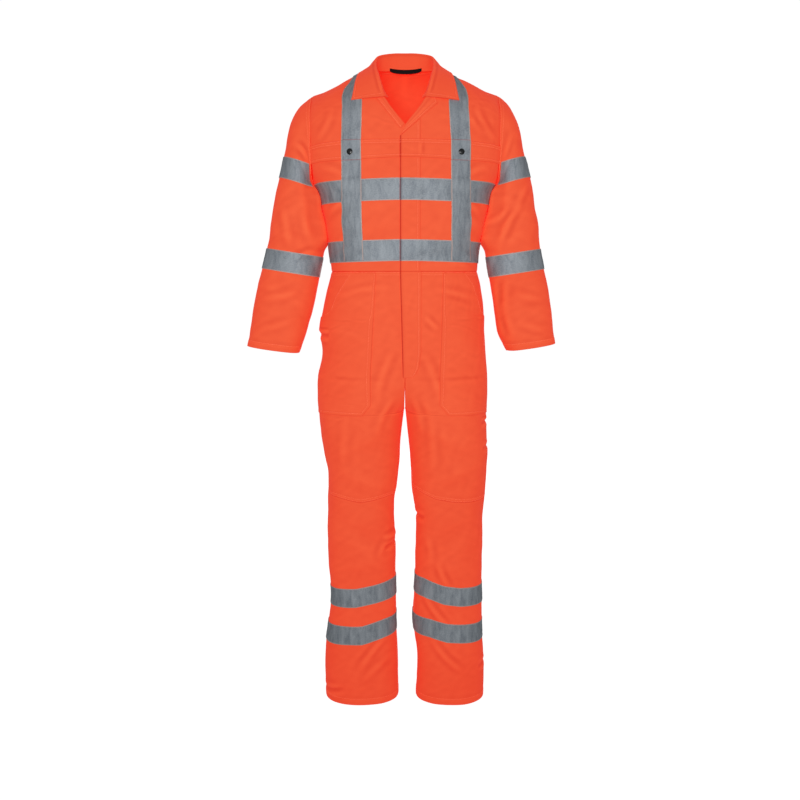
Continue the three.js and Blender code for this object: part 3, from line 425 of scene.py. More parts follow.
def edge_lift(kind, d):
    """How far the outer face stands out at a distance from an edge: a seam sinks into its valley,
    a felled seam or a hem is a doubled strip, and thread pulls a groove."""
    groove = sum(np.exp(-((d - row) / 0.9) ** 2) for row in THREAD_ROWS[kind]) if THREAD_ROWS[kind] else 0 * d
    if kind == "felled":
        return -0.8 * np.exp(-(d / 1.2) ** 2) + 0.3 * smooth((10.5 - d) / 1.6) - 0.25 * groove
    if kind == "hem":
        return -0.3 * np.exp(-(d / 0.8) ** 2) + 0.6 * smooth((19.5 - d) / 1.8) - 0.3 * groove
    if kind == "folded":
        return -0.3 * np.exp(-(d / 0.8) ** 2) + 0.25 * smooth((8.5 - d) / 2) - 0.3 * groove
    if kind == "taped":
        return -0.2 * np.exp(-(d / 0.6) ** 2) - 0.16 * groove
    if kind == "seam":
        return -0.8 * np.exp(-(d / 1.4) ** 2)
    return 0 * d


def stations(length, spacing, dense=()):
    """Places from 0 to 1 along a length, closer together near both ends and the dense places."""
    x = np.linspace(0, length, 4000)
    step = np.minimum(spacing, 0.7 + 0.22 * np.minimum(x, length - x))
    for place in dense:
        step = np.minimum(step, 0.5 + 0.14 * np.abs(x - place))
    count = np.concatenate([[0], np.cumsum((1 / step[1:] + 1 / step[:-1]) / 2 * np.diff(x))])
    wanted = np.linspace(0, count[-1], max(4, int(math.ceil(count[-1])) + 1))
    return np.interp(wanted, count, x) / length


class Sheet:
    """A cut piece: its shape over two shares from 0 to 1, its nominal size, and how it is finished."""

    def __init__(self, node, shape, width, length, edges, lift=0.0, wall=1.2, step=None, spacing=4.8,
                 dense=((), ()), shadowed_edges=()):
        self.node, self.shape, self.width, self.length = node, shape, width, length
        self.edges, self.lift, self.wall, self.step = edges, lift, wall, step
        # The listed edges get a painted shadow of the closure's gap.
        self.spacing, self.dense, self.shadowed_edges = spacing, dense, shadowed_edges

    def distances(self, u, v):
        return (u * self.width, (1 - u) * self.width, v * self.length, (1 - v) * self.length)

    def at(self, u, v):
        """Outer point, normal and the piece's step at shares u and v."""
        point, normal = self.shape(u, v)
        step = self.step(point, u, v) if self.step else 0 * u
        lift = self.lift + step
        for kind, d in zip(self.edges, self.distances(u, v)):
            lift = lift + edge_lift(kind, d)
        return point + normal * lift[..., None], normal, lift - self.lift - step

    def grid(self):
        u = stations(self.width, self.spacing, self.dense[0])
        v = stations(self.length, self.spacing, self.dense[1])
        return np.meshgrid(u, v)


def sheet_mesh(name, sheet):
    """A closed thin shell: the outer grid, the same grid a wall further in, and a rim between them."""
    u, v = sheet.grid()
    outer, normal, raised = sheet.at(u, v)
    inner = outer - normal * (sheet.wall + np.maximum(raised, -0.6 * sheet.wall))[..., None]
    rows, cols = u.shape
    count = rows * cols
    index = np.arange(count).reshape(rows, cols)
    top = np.stack([index[:-1, :-1], index[:-1, 1:], index[1:, 1:], index[1:, :-1]], -1).reshape(-1, 4)
    first = np.concatenate([index[0, :-1], index[:-1, -1], index[-1, :0:-1], index[:0:-1, 0]])
    second = np.concatenate([index[0, 1:], index[1:, -1], index[-1, -2::-1], index[-2::-1, 0]])
    rim = np.stack([second, first, first + count, second + count], -1)
    faces = np.concatenate([top, top[:, ::-1] + count, rim])
    a, b, c = (outer.reshape(-1, 3)[top[:, k]] for k in (0, 1, 2))
    facing = np.einsum("ij,ij->i", np.cross(b - a, c - a), normal.reshape(-1, 3)[top[:, 0]]).sum()
    if facing < 0:
        faces = faces[:, ::-1]
    points = np.concatenate([outer.reshape(-1, 3), inner.reshape(-1, 3)]) * MM
    flat = np.stack([u * sheet.width, v * sheet.length], -1).reshape(-1, 2) * MM
    obj = new_object(name, points, faces, np.concatenate([flat, flat]))
    left, right, bottom, top_edge = sheet.distances(u, v)
    nearest = np.minimum(np.minimum(left, right), np.minimum(bottom, top_edge)).reshape(-1)
    long_edge = (np.minimum(left, right) if sheet.width < sheet.length else np.minimum(bottom, top_edge)).reshape(-1)
    # Distance to the nearest edge: the cloth turns it into painted shade at its seams and hems.
    point_value(obj, "edge", np.tile(nearest, 2))
    # Painted shadow of the closure's gap: 1 at the listed edges, fading within a few millimetres.
    slit = sum((np.exp(-(sheet.distances(u, v)[k] / 2.6) ** 2) for k in sheet.shadowed_edges), 0 * u).reshape(-1)
    point_value(obj, "slit", np.tile(slit, 2))
    point_value(obj, "selvedge", np.tile(long_edge, 2))
    # Depth in the folds: the cloth turns it into painted shade in the hollows and painted highlight on the crests.
    depth = hollows(outer, normal, nearest.reshape(u.shape))
    point_value(obj, "hollow", np.tile(depth.reshape(-1), 2))
    cut_width = np.linalg.norm(np.diff(outer, axis=1), axis=-1).sum(1).max() * MM
    cut_length = np.linalg.norm(np.diff(outer, axis=0), axis=-1).sum(0).max() * MM
    quad = outer.reshape(-1, 3)[top] * MM
    area = np.linalg.norm(np.cross(quad[:, 2] - quad[:, 0], quad[:, 3] - quad[:, 1]), axis=1).sum() / 2
    obj["cut"] = [float(cut_width), float(cut_length), float(area)]
    return obj


def hollows(points, normals, rim):
    """How deep each point of a grid lies in a fold, from -1 on a crest to 1 in a valley: the mean
    bend over two steps less the bend over five, fading out near the rim. The bend is the rise
    of both neighbours along the normal over the length between them."""
    def bend(step, axis):
        places = np.arange(points.shape[axis])
        rises, reach = 0, 0
        for other in (np.minimum(places + step, places[-1]), np.maximum(places - step, 0)):
            gap = np.take(points, other, axis) - points
            length = np.linalg.norm(gap, axis=-1) + 1e-6
            rises = rises + np.einsum("ijk,ijk->ij", gap, normals) / length
            reach = reach + length
        return 2 * rises / reach

    depth = bend(2, 0) + bend(2, 1) - bend(5, 0) - bend(5, 1)
    return np.clip(36 * depth, -1, 1) * smooth(rim / 18)


def new_object(name, points, faces, flat=None):
    mesh = bpy.data.meshes.new(name)
    mesh.vertices.add(len(points))
    mesh.vertices.foreach_set("co", np.asarray(points, np.float32).reshape(-1))
    corners = faces.shape[1]
    mesh.loops.add(faces.size)
    mesh.loops.foreach_set("vertex_index", faces.reshape(-1).astype(np.int32))
    mesh.polygons.add(len(faces))
    mesh.polygons.foreach_set("loop_start", np.arange(0, faces.size, corners, dtype=np.int32))
    mesh.update(calc_edges=True)
    mesh.polygons.foreach_set("use_smooth", np.ones(len(faces), bool))
    if flat is not None:
        layer = mesh.uv_layers.new(name="flat")
        layer.data.foreach_set("uv", flat[faces.reshape(-1)].astype(np.float32).reshape(-1))
    mesh.validate()
    obj = bpy.data.objects.new(name, mesh)
    bpy.context.scene.collection.objects.link(obj)
    return obj


def point_value(obj, name, values):
    attribute = obj.data.attributes.new(name, "FLOAT", "POINT")
    attribute.data.foreach_set("value", np.asarray(values, np.float32))


SEWN = []


def sew(sheet, material):
    obj = sheet_mesh("sewn_" + sheet.node, sheet)
    obj.data.materials.append(material)
    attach(obj, BODY)
    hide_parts(sheet.node)
    width, length, area = obj["cut"]
    width, length = max(width, 0.01), max(length, 0.01)
    SEWN.append(sheet)
    return obj


# Torso.
V_LINE = np.array([
    (-1, -120), (22, -93), (35, -76), (47, -57), (56, -36), (62, -13), (69, 15), (75, 27),
], float)
NECK_BACK = 62.0
NECK_HALF = 75.0
NECK_POWER = 2.3


def seam_rise(x):
    """The rise at which the front reaches the shoulder seam, at Y 0."""
    angle = torso_angle(x, DOME, -1)
    start = np.abs(torso_base(angle, 1 + 0 * x)[..., 1] - RIDGE_Y)
    share = RIDGE_Y / start
    return 1 + np.arctan2((1 - share ** CHEST_POWER) ** (1 / CHEST_POWER), share) / (np.pi / 2)


def front_shape(side):
    """A front: columns from the closure to the side seam or armhole, and rows from the waist seam
    to the V neck or the shoulder seam."""
    sign = SIDES[side]

    def shape(u, v):
        closure = torso_angle(sign * 0.15 + 0 * u, DOME, -1)
        outer = torso_angle(sign * (ARMHOLE - 0.15) + 0 * u, DOME, -1)
        x = torso_base(closure + (outer - closure) * u, 1 + 0 * u)[..., 0]
        v_top = torso_rise(x, np.interp(np.abs(x), V_LINE[:, 0], V_LINE[:, 1]), -1)
        top = np.where(np.abs(x) < NECK_HALF, np.minimum(v_top, seam_rise(x)), seam_rise(x))
        rise = np.where(v < 0.5, 1.86 * v, 0.93 + (top - 0.93) * (2 * v - 1))
        z = np.minimum(WAIST + (DOME - WAIST) * rise, DOME)
        closure = torso_angle(sign * 0.15 + 0 * u, z, -1)
        outer = torso_angle(sign * (ARMHOLE - 0.15) + 0 * u, z, -1)
        return torso_at(closure + (outer - closure) * u, rise)

    return shape


def back_shape(u, v):
    """The back: columns from the left side to the right, and rows from the waist seam to the neck or
    over the ridge to the shoulder seam."""
    def ends(z):
        return torso_angle(ARMHOLE - 0.15 + 0 * z, z, 1), torso_angle(-ARMHOLE + 0.15 + 0 * z, z, 1)

    left, right = ends(DOME + 0 * u)
    level = torso_base(left + (right - left) * u, 1 + 0 * u)
    x = np.abs(level[..., 0])
    neck_y = NECK_BACK * np.maximum(0, 1 - np.minimum(x / NECK_HALF, 1) ** NECK_POWER) ** (1 / NECK_POWER)
    share = np.clip((neck_y - RIDGE_Y) / (level[..., 1] - RIDGE_Y), 0, 1)
    neck = 1 + np.arctan2((1 - share ** UPPER_BACK_POWER) ** (1 / UPPER_BACK_POWER), share) / (np.pi / 2)
    top = np.where(x < NECK_HALF, neck, 2.097)
    rise = np.where(v < 0.62, v * 1.3 / 0.62, 1.3 + (top - 1.3) * (v - 0.62) / 0.38)
    left, right = ends(np.minimum(WAIST + (DOME - WAIST) * rise, DOME))
    return torso_at(left + (right - left) * u, rise)


def torso_patch(outline):
    """A patch on the chest from its place in the front view: outline(u, v) gives X and Z."""
    def shape(u, v):
        x, z = outline(u, v)
        return torso_at(torso_angle(x, z, -1), torso_rise(x, z, -1))

    return shape


def torso_band(upper, low, high, face):
    """A level strip of tape: its upper edge is a table of X and Z, and it is 50 mm high."""
    rows = [{"x": x, "z": z} for x, z in upper]

    def shape(u, v):
        z = upper[0][1] - 50 * (1 - v)
        for _ in range(3):
            start = torso_angle(low + 0 * u, z, face)
            end = torso_angle(high + 0 * u, z, face)
            angle = start + (end - start) * u
            x = torso_base(angle, (z - WAIST) / (DOME - WAIST))[..., 0]
            z = straight(rows, x, "x", "z") - TAPE_HEIGHT * (1 - v)
        return torso_at(angle, (z - WAIST) / (DOME - WAIST))

    return shape


TAPE_HEIGHT = 50.0
BRACE_HALF = 23.0
CLOSURE_X = -12.0
PLACKET_X = 35.0
FIRST = 1.6
SECOND = 3.1
TAPE_WALL = 1.1
CHEST_BAND = [(-240, -243), (-20, -238), (20, -238), (240, -243)]
WAIST_BAND = [(-240, -381), (-20, -376), (20, -376), (240, -381)]
BRACES = {
    "right": np.array([(-450, -120), (-290, -124), (-152, -124), (-80, -121), (-55, -122), (-33, -118),
                       (-12, -107), (12, -99), (40, -97)], float),
    "left": np.array([(-450, 133), (-290, 129), (-152, 127.5), (-80, 122), (-55, 122), (-33, 118),
                      (-12, 107), (12, 99), (40, 97)], float),
    "back": np.array([(-450, 122), (-80, 120), (-30, 116), (20, 103), (40, 97), (60, 97)], float),
}
FLAP = [(12, -152, -192), (138, -153, -197), (198, -157, -198), (232, -162, -200)]


def crinkle(points, height):
    """Fine wrinkles of the stiff tape, only outwards."""
    a = np.sin(points @ np.array([0.31, 0.12, 0.42]) + 2 * np.sin(points @ np.array([0.05, -0.03, 0.07])))
    b = np.sin(points @ np.array([-0.22, 0.1, 0.55]) + 1.5 * np.sin(points @ np.array([0.09, 0.04, -0.06])))
    return height * (0.5 + 0.25 * a + 0.25 * b)


def over_placket(point, u, v):
    """The left pieces rise by one layer where they cross the covered closure."""
    x = point[..., 0]
    return (SECOND - FIRST) * smooth((PLACKET_X + 4.5 - x) / 3.5)


def over_bands(point, u, v):
    """A brace rises by one layer where it crosses a level band."""
    z = point[..., 2]
    out = 0 * z
    for band in (CHEST_BAND, WAIST_BAND):
        top = np.interp(point[..., 0], [x for x, _ in band], [h for _, h in band])
        out = np.maximum(out, smooth((top + 4.5 - z) / 3.5) * smooth((z - top + TAPE_HEIGHT + 4.5) / 3.5))
    return (SECOND - FIRST) * out + crinkle(point, 0.3)


def brace_shape(side, low, high, face):
    """A brace: a strip of tape at a table of X, between two rises of the torso."""
    rows = BRACES["back" if face > 0 else side]
    sign = SIDES[side] if face > 0 else 1

    def shape(u, v):
        rise = low + (high - low) * v
        z = WAIST + (DOME - WAIST) * rise
        middle = sign * np.interp(np.where(rise < 1, z, DOME + 150 * (rise - 1)), rows[:, 0], rows[:, 1])
        x = middle + BRACE_HALF * (2 * u - 1)
        if high > 1.9 and face < 0:
            rise = low + (seam_rise(x) - low) * v
        return torso_at(torso_angle(x, z, face), rise)

    return shape


def flap_shape(side, inner, outer):
    sign = SIDES[side]
    xs = [row[0] for row in FLAP]

    def shape(u, v):
        z = -175 + 0 * u
        for _ in range(3):
            start, end = torso_angle(sign * inner + 0 * u, z, -1), torso_angle(sign * outer + 0 * u, z, -1)
            angle = start + (end - start) * u
            x = np.abs(torso_base(angle, (z - WAIST) / (DOME - WAIST))[..., 0])
            top = np.interp(x, xs, [row[1] for row in FLAP])
            bottom = np.interp(x, xs, [row[2] for row in FLAP])
            z = bottom + (top - bottom) * v
        return torso_at(angle, (z - WAIST) / (DOME - WAIST))

    return shape


def along_line(corners, share):
    """Points at even shares of the length of a line with corners."""
    corners = np.array(corners, float)
    length = np.concatenate([[0], np.cumsum(np.hypot(*np.diff(corners, axis=0).T))])
    return [np.interp(share * length[-1], length, corners[:, k]) for k in (0, 1)]


def lapel_outline(inner, outer, corner):
    """A patch in the front view between two lines with corners. The outer line's own corner is
    reached at a given share of the height, and the rest of it closes the top."""
    outer = np.array(outer, float)
    rest = np.concatenate([[0], np.cumsum(np.hypot(*np.diff(outer[1:], axis=0).T))])

    def outline(u, v):
        low, high = np.minimum(v / corner, 1), np.maximum(v - corner, 0) / (1 - corner) * rest[-1]
        rim = along_line(inner, v)
        edge = [np.where(v < corner, outer[0, k] + (outer[1, k] - outer[0, k]) * low,
                         np.interp(high, rest, outer[1:, k])) for k in (0, 1)]
        return [a + (b - a) * u for a, b in zip(rim, edge)]

    return outline


def make_torso(cloth):
    sew(Sheet("back", back_shape, 500, 640, ("felled", "felled", "felled", "felled"), spacing=6.4,
              dense=((), (258,))), cloth)
    for side in ("right", "left"):
        edges = ("seam", "seam", "seam", "seam")
        sew(Sheet("front_" + side, front_shape(side), 262, 560, edges, dense=((), (174,))), cloth)


def make_closure(cloth):
    def upper(u, v):
        x = CLOSURE_X + (PLACKET_X - CLOSURE_X) * u
        top = -145 + 39 * u
        return x, WAIST + 0.15 + (top - WAIST - 0.15) * v

    lips = lambda point, u, v: 0.7 * np.exp(-(u * 47 / 3.5) ** 2)
    sew(Sheet("placket_upper", torso_patch(upper), 47, 325, ("bare", "folded", "seam", "seam"),
              FIRST, 1.2, lips, 4.0, shadowed_edges=(0,)), cloth)


def fly_shape(u, v):
    """The lower closure: its right edge runs down the middle, and its left edge curves in to it."""
    left_z = np.array([-703, -701, -693, -678, -640, -450], float)
    left_x = np.array([1.0, 14, 26, 33, 38, 38], float)
    z = -702.5 + (WAIST - 0.15 + 702.5) * v
    low = np.interp(z, [-702.5, -450], [-5, CLOSURE_X])
    x = low + (np.interp(z, left_z, left_x) - low) * u
    return leg_at("left", leg_turn("left", x, z), z)


def leg_turn(side, x, z):
    """The turn of a leg's loop at which X is reached on its front."""
    middle, half, _, _ = leg_sections(side, z)
    return angle_at((x - middle) / (SIDES[side] * half), LEG_POWER)


# Legs.
KNEE = {
    "right": [(-260, -1006), (-171, -1010), (-112, -1021), (-50, -1010), (0, -1004)],
    "left": [(0, -990), (33, -996), (76, -1013), (130, -1021), (185, -1021), (260, -1020)],
}
LEG_BANDS = {
    ("right", "upper"): [(-240, -1264), (-160, -1256), (-125, -1254), (-51, -1239), (-5, -1230)],
    ("left", "upper"): [(5, -1227), (50, -1230), (100, -1246), (142, -1252), (240, -1255)],
    ("right", "lower"): [(-240, -1362), (-160, -1356), (-110, -1354), (-51, -1338), (-5, -1331)],
    ("left", "lower"): [(5, -1333), (66, -1337), (110, -1348), (184, -1353), (240, -1355)],
}
POCKET_INNER = {
    "right": [(-795, -104), (-770, -83), (-703, -83), (-556, -75), (-453, -69)],
    "left": [(-795, 107), (-769, 84), (-703, 84), (-554, 88), (-453, 90)],
}
POCKET_MOUTH = {
    "right": [(-578, -230), (-545, -182), (-512, -168), (-484, -150), (-453, -128)],
    "left": [(-576, 230), (-552, 186), (-525, 178), (-482, 163), (-453, 143)],
}
INSEAM_FORWARD = 24.0
INSEAM_START = 100.0


def inner_turn(side, z, face):
    """The turn at which a front (1) or back (-1) leg panel ends: at the middle of the body above the
    crotch, and at the inseam, which runs a little forward, below it."""
    def inside(turn):
        point = leg_base(side, face * turn, z)
        x, y = SIDES[side] * point[..., 0], point[..., 1]
        seam = -INSEAM_FORWARD * np.clip(1 - np.maximum(x, 0) / INSEAM_START, 0, 1)
        return (x > 0.15) & ((y < seam - 0.15) if face > 0 else (y > seam + 0.15))

    low = np.full_like(z, 1.2)
    high = np.full_like(z, np.pi - 0.002 if face > 0 else np.pi + 0.9)
    return face * halved(inside, low, high)


def leg_shape(side, face, low_z, high_z):
    """A leg panel: columns from the side seam to the inseam or the middle seam, and rows between two
    heights, each a number or a table of X and Z."""
    def height(edge, u, z):
        if np.isscalar(edge):
            return edge + 0 * u
        x = leg_base(side, inner_turn(side, z, face) * u, z)[..., 0]
        return np.interp(x, [row[0] for row in edge], [row[1] for row in edge])

    def shape(u, v):
        guess = -1010.0 + 0 * u
        low, high = height(low_z, u, guess), height(high_z, u, guess)
        z = low + (high - low) * v
        first = face * 0.0012
        return leg_at(side, first + (inner_turn(side, z, face) - first) * u, z)

    return shape


def leg_band_shape(side, upper, face):
    xs, zs = [row[0] for row in upper], [row[1] for row in upper]

    def shape(u, v):
        z = zs[2] - TAPE_HEIGHT * (1 - v)
        for _ in range(4):
            turn = inner_turn(side, z, face) * u
            x = leg_base(side, turn, z)[..., 0]
            z = np.interp(x, xs, zs) - TAPE_HEIGHT * (1 - v)
        return leg_at(side, turn, z)

    return shape


def pocket_shape(side):
    """A patch pocket: from its inner edge with the cut corner to the side seam or the slanted mouth."""
    inner, mouth = np.array(POCKET_INNER[side], float), np.array(POCKET_MOUTH[side], float)

    def shape(u, v):
        z = -795 - 5 * smooth((u - 0.4) / 0.6) * (1 - v) + (795 - 453) * v
        start = leg_turn(side, np.interp(z, inner[:, 0], inner[:, 1]), z)
        mouth_x = np.interp(z, mouth[:, 0], mouth[:, 1])
        end = np.where(z < mouth[0, 0], 0.002, np.maximum(0.002, leg_turn(side, mouth_x, z)))
        return leg_at(side, start + (end - start) * u, z)

    return shape


def make_legs(cloth):
    for side in ("right", "left"):
        sew(Sheet("thigh_front_" + side, leg_shape(side, 1, [(x, z) for x, z in KNEE[side]], WAIST - 0.15), 300, 562,
                  ("seam", "seam", "felled", "felled"), dense=((), (218,))), cloth)
        sew(Sheet("shin_front_" + side, leg_shape(side, 1, HEM, [(x, z - 0.3) for x, z in KNEE[side]]), 225, 556,
                  ("seam", "seam", "hem", "seam")), cloth)
        sew(Sheet("leg_back_" + side, leg_shape(side, -1, HEM, WAIST - 0.15), 310, 1120,
                  ("felled", "felled", "hem", "seam"), spacing=6.4, dense=((), (776,))), cloth)


# Sleeves.
SLEEVE_BANDS = {
    ("right", "upper"): (292, -178, 218, -201), ("right", "lower"): (340, -393, 206, -414),
    ("left", "upper"): (292, -177, 216, -198), ("left", "lower"): (336, -394, 204, -414),
}


def sleeve_shape(side):
    length = sleeve_length(side)[-1]

    def shape(u, v):
        return sleeve_at(side, np.pi * (2 * u - 1), length * v)

    return shape


def sleeve_band_shape(side, band):
    """A strip of tape round the arm, 50 mm wide below a slanting line in the front view. The upper
    one starts and ends at the armhole seam."""
    ox, oz, ix, iz = SLEEVE_BANDS[(side, band)]
    length = math.hypot(ox - ix, oz - iz)
    down = ((oz - iz) / length, -(ox - ix) / length)
    total = sleeve_length(side)[-1]

    def reach_at(turn, v):
        def below(reach):
            point = sleeve_base(side, turn, reach)
            x = SIDES[side] * point[..., 0]
            return (x - ox) * down[0] + (point[..., 2] - oz) * down[1] > TAPE_HEIGHT * (1 - v)

        return halved(below, 0 * turn, total + 0 * turn, 22)

    def end_turn(sign, v):
        def clear(turn):
            point = sleeve_base(side, sign * turn, reach_at(sign * turn, v))
            return np.abs(point[..., 0]) > ARMHOLE + 5.15

        return sign * halved(clear, 0 * v, np.pi + 0 * v, 18)

    def shape(u, v):
        if band == "lower":
            turn = np.pi * (2 * u - 1)
        else:
            row = v[:, :1] if v.ndim == 2 else v
            start, end = end_turn(-1, row), end_turn(1, row)
            turn = start + (end - start) * u
        return sleeve_at(side, turn, reach_at(turn, v))

    return shape


def make_sleeves(cloth):
    for side in ("right", "left"):
        sew(Sheet("sleeve_" + side, sleeve_shape(side), 330, 560, ("felled", "seam", "hem", "felled")), cloth)


def make_sleeve_bands(tape):
    for side in ("right", "left"):
        for band, width in (("upper", 300), ("lower", 310)):
            shape = sleeve_band_shape(side, band)
            sew(Sheet("sleeve_band_%s_%s" % (band, side), shape, width, 50, ("bare", "bare", "taped", "taped"),
                      FIRST, TAPE_WALL, lambda p, u, v: crinkle(p, 0.3), 3.4),
                tape)


# Collar.
# Base, roll and edge of the collar, from the middle of the back neck to the front point.
COLLAR = np.array([
    (0, 60.4, 38, 0, 65, 81, 0, 93, 24), (22, 58.2, 38, 22, 63, 80.5, 28, 92, 22),
    (42, 52, 36, 43, 56, 77, 57, 84, 17), (60, 38.5, 33, 61.5, 42, 70, 82, 66, 14),
    (71, 17, 28, 69.5, 18, 57, 99, 34, 12), (71.6, -2, 22, 70.5, -3, 43, 106, 4, 12),
    (69.8, -13, 17, 70, -17, 36, 109, -20, 6), (66, -24, 12, 69, -31, 26.5, 112, -42, -6),
    (60, -46, -5, 66.5, -54, 11, 115.5, -64, -23), (54, -72, -27, 60, -84, -17, 119, -82, -45),
    (46, -84, -44, 53, -99, -43, 121.5, -92, -58), (39, -90, -56, 47, -106, -59, 123.5, -95, -66),
], float)
COLLAR_LIFT = 4.4


def clear_of_shoulders(point, lift, exact=False):
    """Points pushed out, away from the shoulder line, until they clear the shoulders by the lift."""
    face = np.where(point[..., 1] < RIDGE_Y, -1, 1)
    power = np.where(face < 0, CHEST_POWER, UPPER_BACK_POWER)
    ridge = through(SHOULDER, np.abs(point[..., 0]), 1) - DOME
    most = np.abs(torso_depth(point[..., 0], DOME + 0 * ridge, face) - RIDGE_Y)
    out, up = point[..., 1] - RIDGE_Y, point[..., 2] - DOME
    reach = (np.abs(out / most) ** power + np.abs(up / ridge) ** power) ** (1 / power)
    length = np.hypot(out, up)
    needed = length / reach + lift
    scale = needed / length if exact else np.maximum(1, needed / length)
    return np.stack([point[..., 0], RIDGE_Y + out * scale, DOME + up * scale], -1)


def collar_lines():
    base, roll, edge = COLLAR[:, 0:3], COLLAR[:, 3:6], COLLAR[:, 6:9]
    edge = clear_of_shoulders(edge, COLLAR_LIFT, True)
    inward = (base - roll) / np.linalg.norm(base - roll, axis=1, keepdims=True)
    outward = (edge - roll) / np.linalg.norm(edge - roll, axis=1, keepdims=True)
    spread = (outward - inward) * (1, 1, 0)
    spread = spread / np.linalg.norm(spread, axis=1, keepdims=True) * 2.6
    inner, outer = roll + inward * 5 - spread, roll + outward * 5 + spread
    line = [edge, outer + (edge - outer) * 0.67, outer + (edge - outer) * 0.34, outer, roll]
    line = [clear_of_shoulders(p, COLLAR_LIFT) for p in line] + [inner, base]
    half = np.stack(line, 1)
    mirrored = half[:0:-1] * (-1, 1, 1)
    return np.concatenate([mirrored, half])


def through_rows(knots, values, places):
    """The smooth line of through() along the first axis of a whole array."""
    slopes = np.gradient(values, knots, axis=0)
    k = np.clip(np.searchsorted(knots, places) - 1, 0, len(knots) - 2)
    step = knots[k + 1] - knots[k]
    shape = (-1,) + (1,) * (values.ndim - 1)
    s, h = ((places - knots[k]) / step).reshape(shape), step.reshape(shape)
    start = values[k] * (1 + 2 * s) * (1 - s) ** 2 + slopes[k] * h * s * (1 - s) ** 2
    return start + values[k + 1] * s * s * (3 - 2 * s) - slopes[k + 1] * h * s * s * (1 - s)


def collar_shape(u, v):
    """The collar: a smooth surface through the lines from its free edge over the roll to its base,
    for sections from the right point round the neck to the left one."""
    lines = collar_lines()
    around = np.concatenate([[0], np.cumsum(np.linalg.norm(np.diff(lines[:, 3], axis=0), axis=1))])
    across = np.concatenate([[0], np.cumsum(np.linalg.norm(np.diff(lines, axis=1), axis=2).mean(0))])
    us = np.unique(np.concatenate([u.reshape(-1), np.linspace(0, 1, 61)]))
    vs = np.unique(np.concatenate([v.reshape(-1), np.linspace(0, 1, 31)]))
    rows = through_rows(around, lines, us * around[-1])
    grid = through_rows(across, np.moveaxis(rows, 1, 0), vs * across[-1])
    fall = grid[vs < 0.5]
    grid[vs < 0.5] = clear_of_shoulders(fall, COLLAR_LIFT - 0.3)
    wide_u, wide_v = np.gradient(grid, us, axis=1), np.gradient(grid, vs, axis=0)
    normal = np.cross(wide_u, wide_v)
    normal /= np.linalg.norm(normal, axis=-1, keepdims=True)
    i, j = np.searchsorted(vs, v), np.searchsorted(us, u)
    return grid[i, j], normal[i, j] * COLLAR_TURN


COLLAR_TURN = -1


# Small pieces.
def lathe(profile, around=40):
    """A turned cap: a profile of radius and height carried round the Z axis, closed at its middle."""
    radius, height = np.array(profile, float).T
    angle = np.linspace(0, 2 * np.pi, around, endpoint=False)
    ring = np.stack([np.outer(radius, np.cos(angle)), np.outer(radius, np.sin(angle)),
                     np.repeat(height[:, None], around, 1)], -1)
    index = np.arange(ring.shape[0] * around).reshape(-1, around)
    after = np.roll(index, -1, 1)
    faces = np.stack([index[:-1], after[:-1], after[1:], index[1:]], -1).reshape(-1, 4)
    return ring.reshape(-1, 3), faces[:, ::-1]


def facing(point, normal, shape):
    """Places a turned shape at a point with its Z axis along a normal."""
    side = np.cross((0.0, 0.0, 1.0), normal)
    side /= np.linalg.norm(side)
    up = np.cross(normal, side)
    return point + shape[:, :1] * side + shape[:, 1:2] * up + shape[:, 2:] * normal


def stitch_mesh(lines, height=0.42, half=0.34, pitch=3.3, gap=0.75):
    """Rows of thread: each stitch is a low arch of three-sided sections, set at an even pitch along
    its line, with its ends in the cloth."""
    points, faces, total = [], [], 0
    for line, normal in lines:
        length = np.concatenate([[0], np.cumsum(np.linalg.norm(np.diff(line, axis=0), axis=1))])
        count = int(length[-1] / pitch)
        if count < 1:
            continue
        starts = (np.arange(count) + 0.12) * (length[-1] / count)
        shares = np.array([0, 0.25, 0.75, 1]) * (pitch - gap)
        places = starts[:, None] + shares
        centre = np.stack([np.interp(places, length, line[:, k]) for k in range(3)], -1)
        up = np.stack([np.interp(places, length, normal[:, k]) for k in range(3)], -1)
        up /= np.linalg.norm(up, axis=-1, keepdims=True)
        ahead = centre[:, -1:] - centre[:, :1]
        side = np.cross(ahead, up)
        side /= np.maximum(np.linalg.norm(side, axis=-1, keepdims=True), 1e-9)
        rise = np.array([-0.15, height, height, -0.15])[:, None]
        crown = centre + up * rise
        foot = centre + up * (rise - 0.45)
        ring = np.stack([foot - side * half, crown, foot + side * half], 2)
        base = np.arange(count)[:, None] * 12 + total
        quads = []
        for k in range(3):
            for m in range(3):
                a, b = k * 3 + m, k * 3 + (m + 1) % 3
                quads.append(np.concatenate([base + a, base + b, base + b + 3, base + a + 3], 1))
        points.append(ring.reshape(-1, 3))
        faces.append(np.concatenate(quads))
        total += count * 12
    return np.concatenate(points), np.concatenate(faces)


def thread_lines(sheet):
    """The rows of thread that the finish of each edge gives, inset where two finished edges meet."""
    rows = [THREAD_ROWS[kind] for kind in sheet.edges]
    inset = [row[0] if row else 0 for row in rows]
    lines = []
    for edge in range(4):
        for d in rows[edge]:
            if edge < 2:
                share = d / sheet.width if edge == 0 else 1 - d / sheet.width
                v = np.linspace(inset[2] / sheet.length, 1 - inset[3] / sheet.length, max(8, int(sheet.length / 5)))
                u = np.full_like(v, share)
            else:
                share = d / sheet.length if edge == 2 else 1 - d / sheet.length
                u = np.linspace(inset[0] / sheet.width, 1 - inset[1] / sheet.width, max(8, int(sheet.width / 5)))
                v = np.full_like(u, share)
            point, normal, _ = sheet.at(u[None], v[None]) if edge >= 2 else sheet.at(u[:, None], v[:, None])
            lines.append((point.reshape(-1, 3), normal.reshape(-1, 3)))
    return lines


# Finishes.
def linear(text):
    """Linear colour from an sRGB hex value."""
    parts = [int(text[k:k + 2], 16) / 255 for k in (1, 3, 5)]
    return tuple(c / 12.92 if c <= 0.04045 else ((c + 0.055) / 1.055) ** 2.4 for c in parts) + (1.0,)


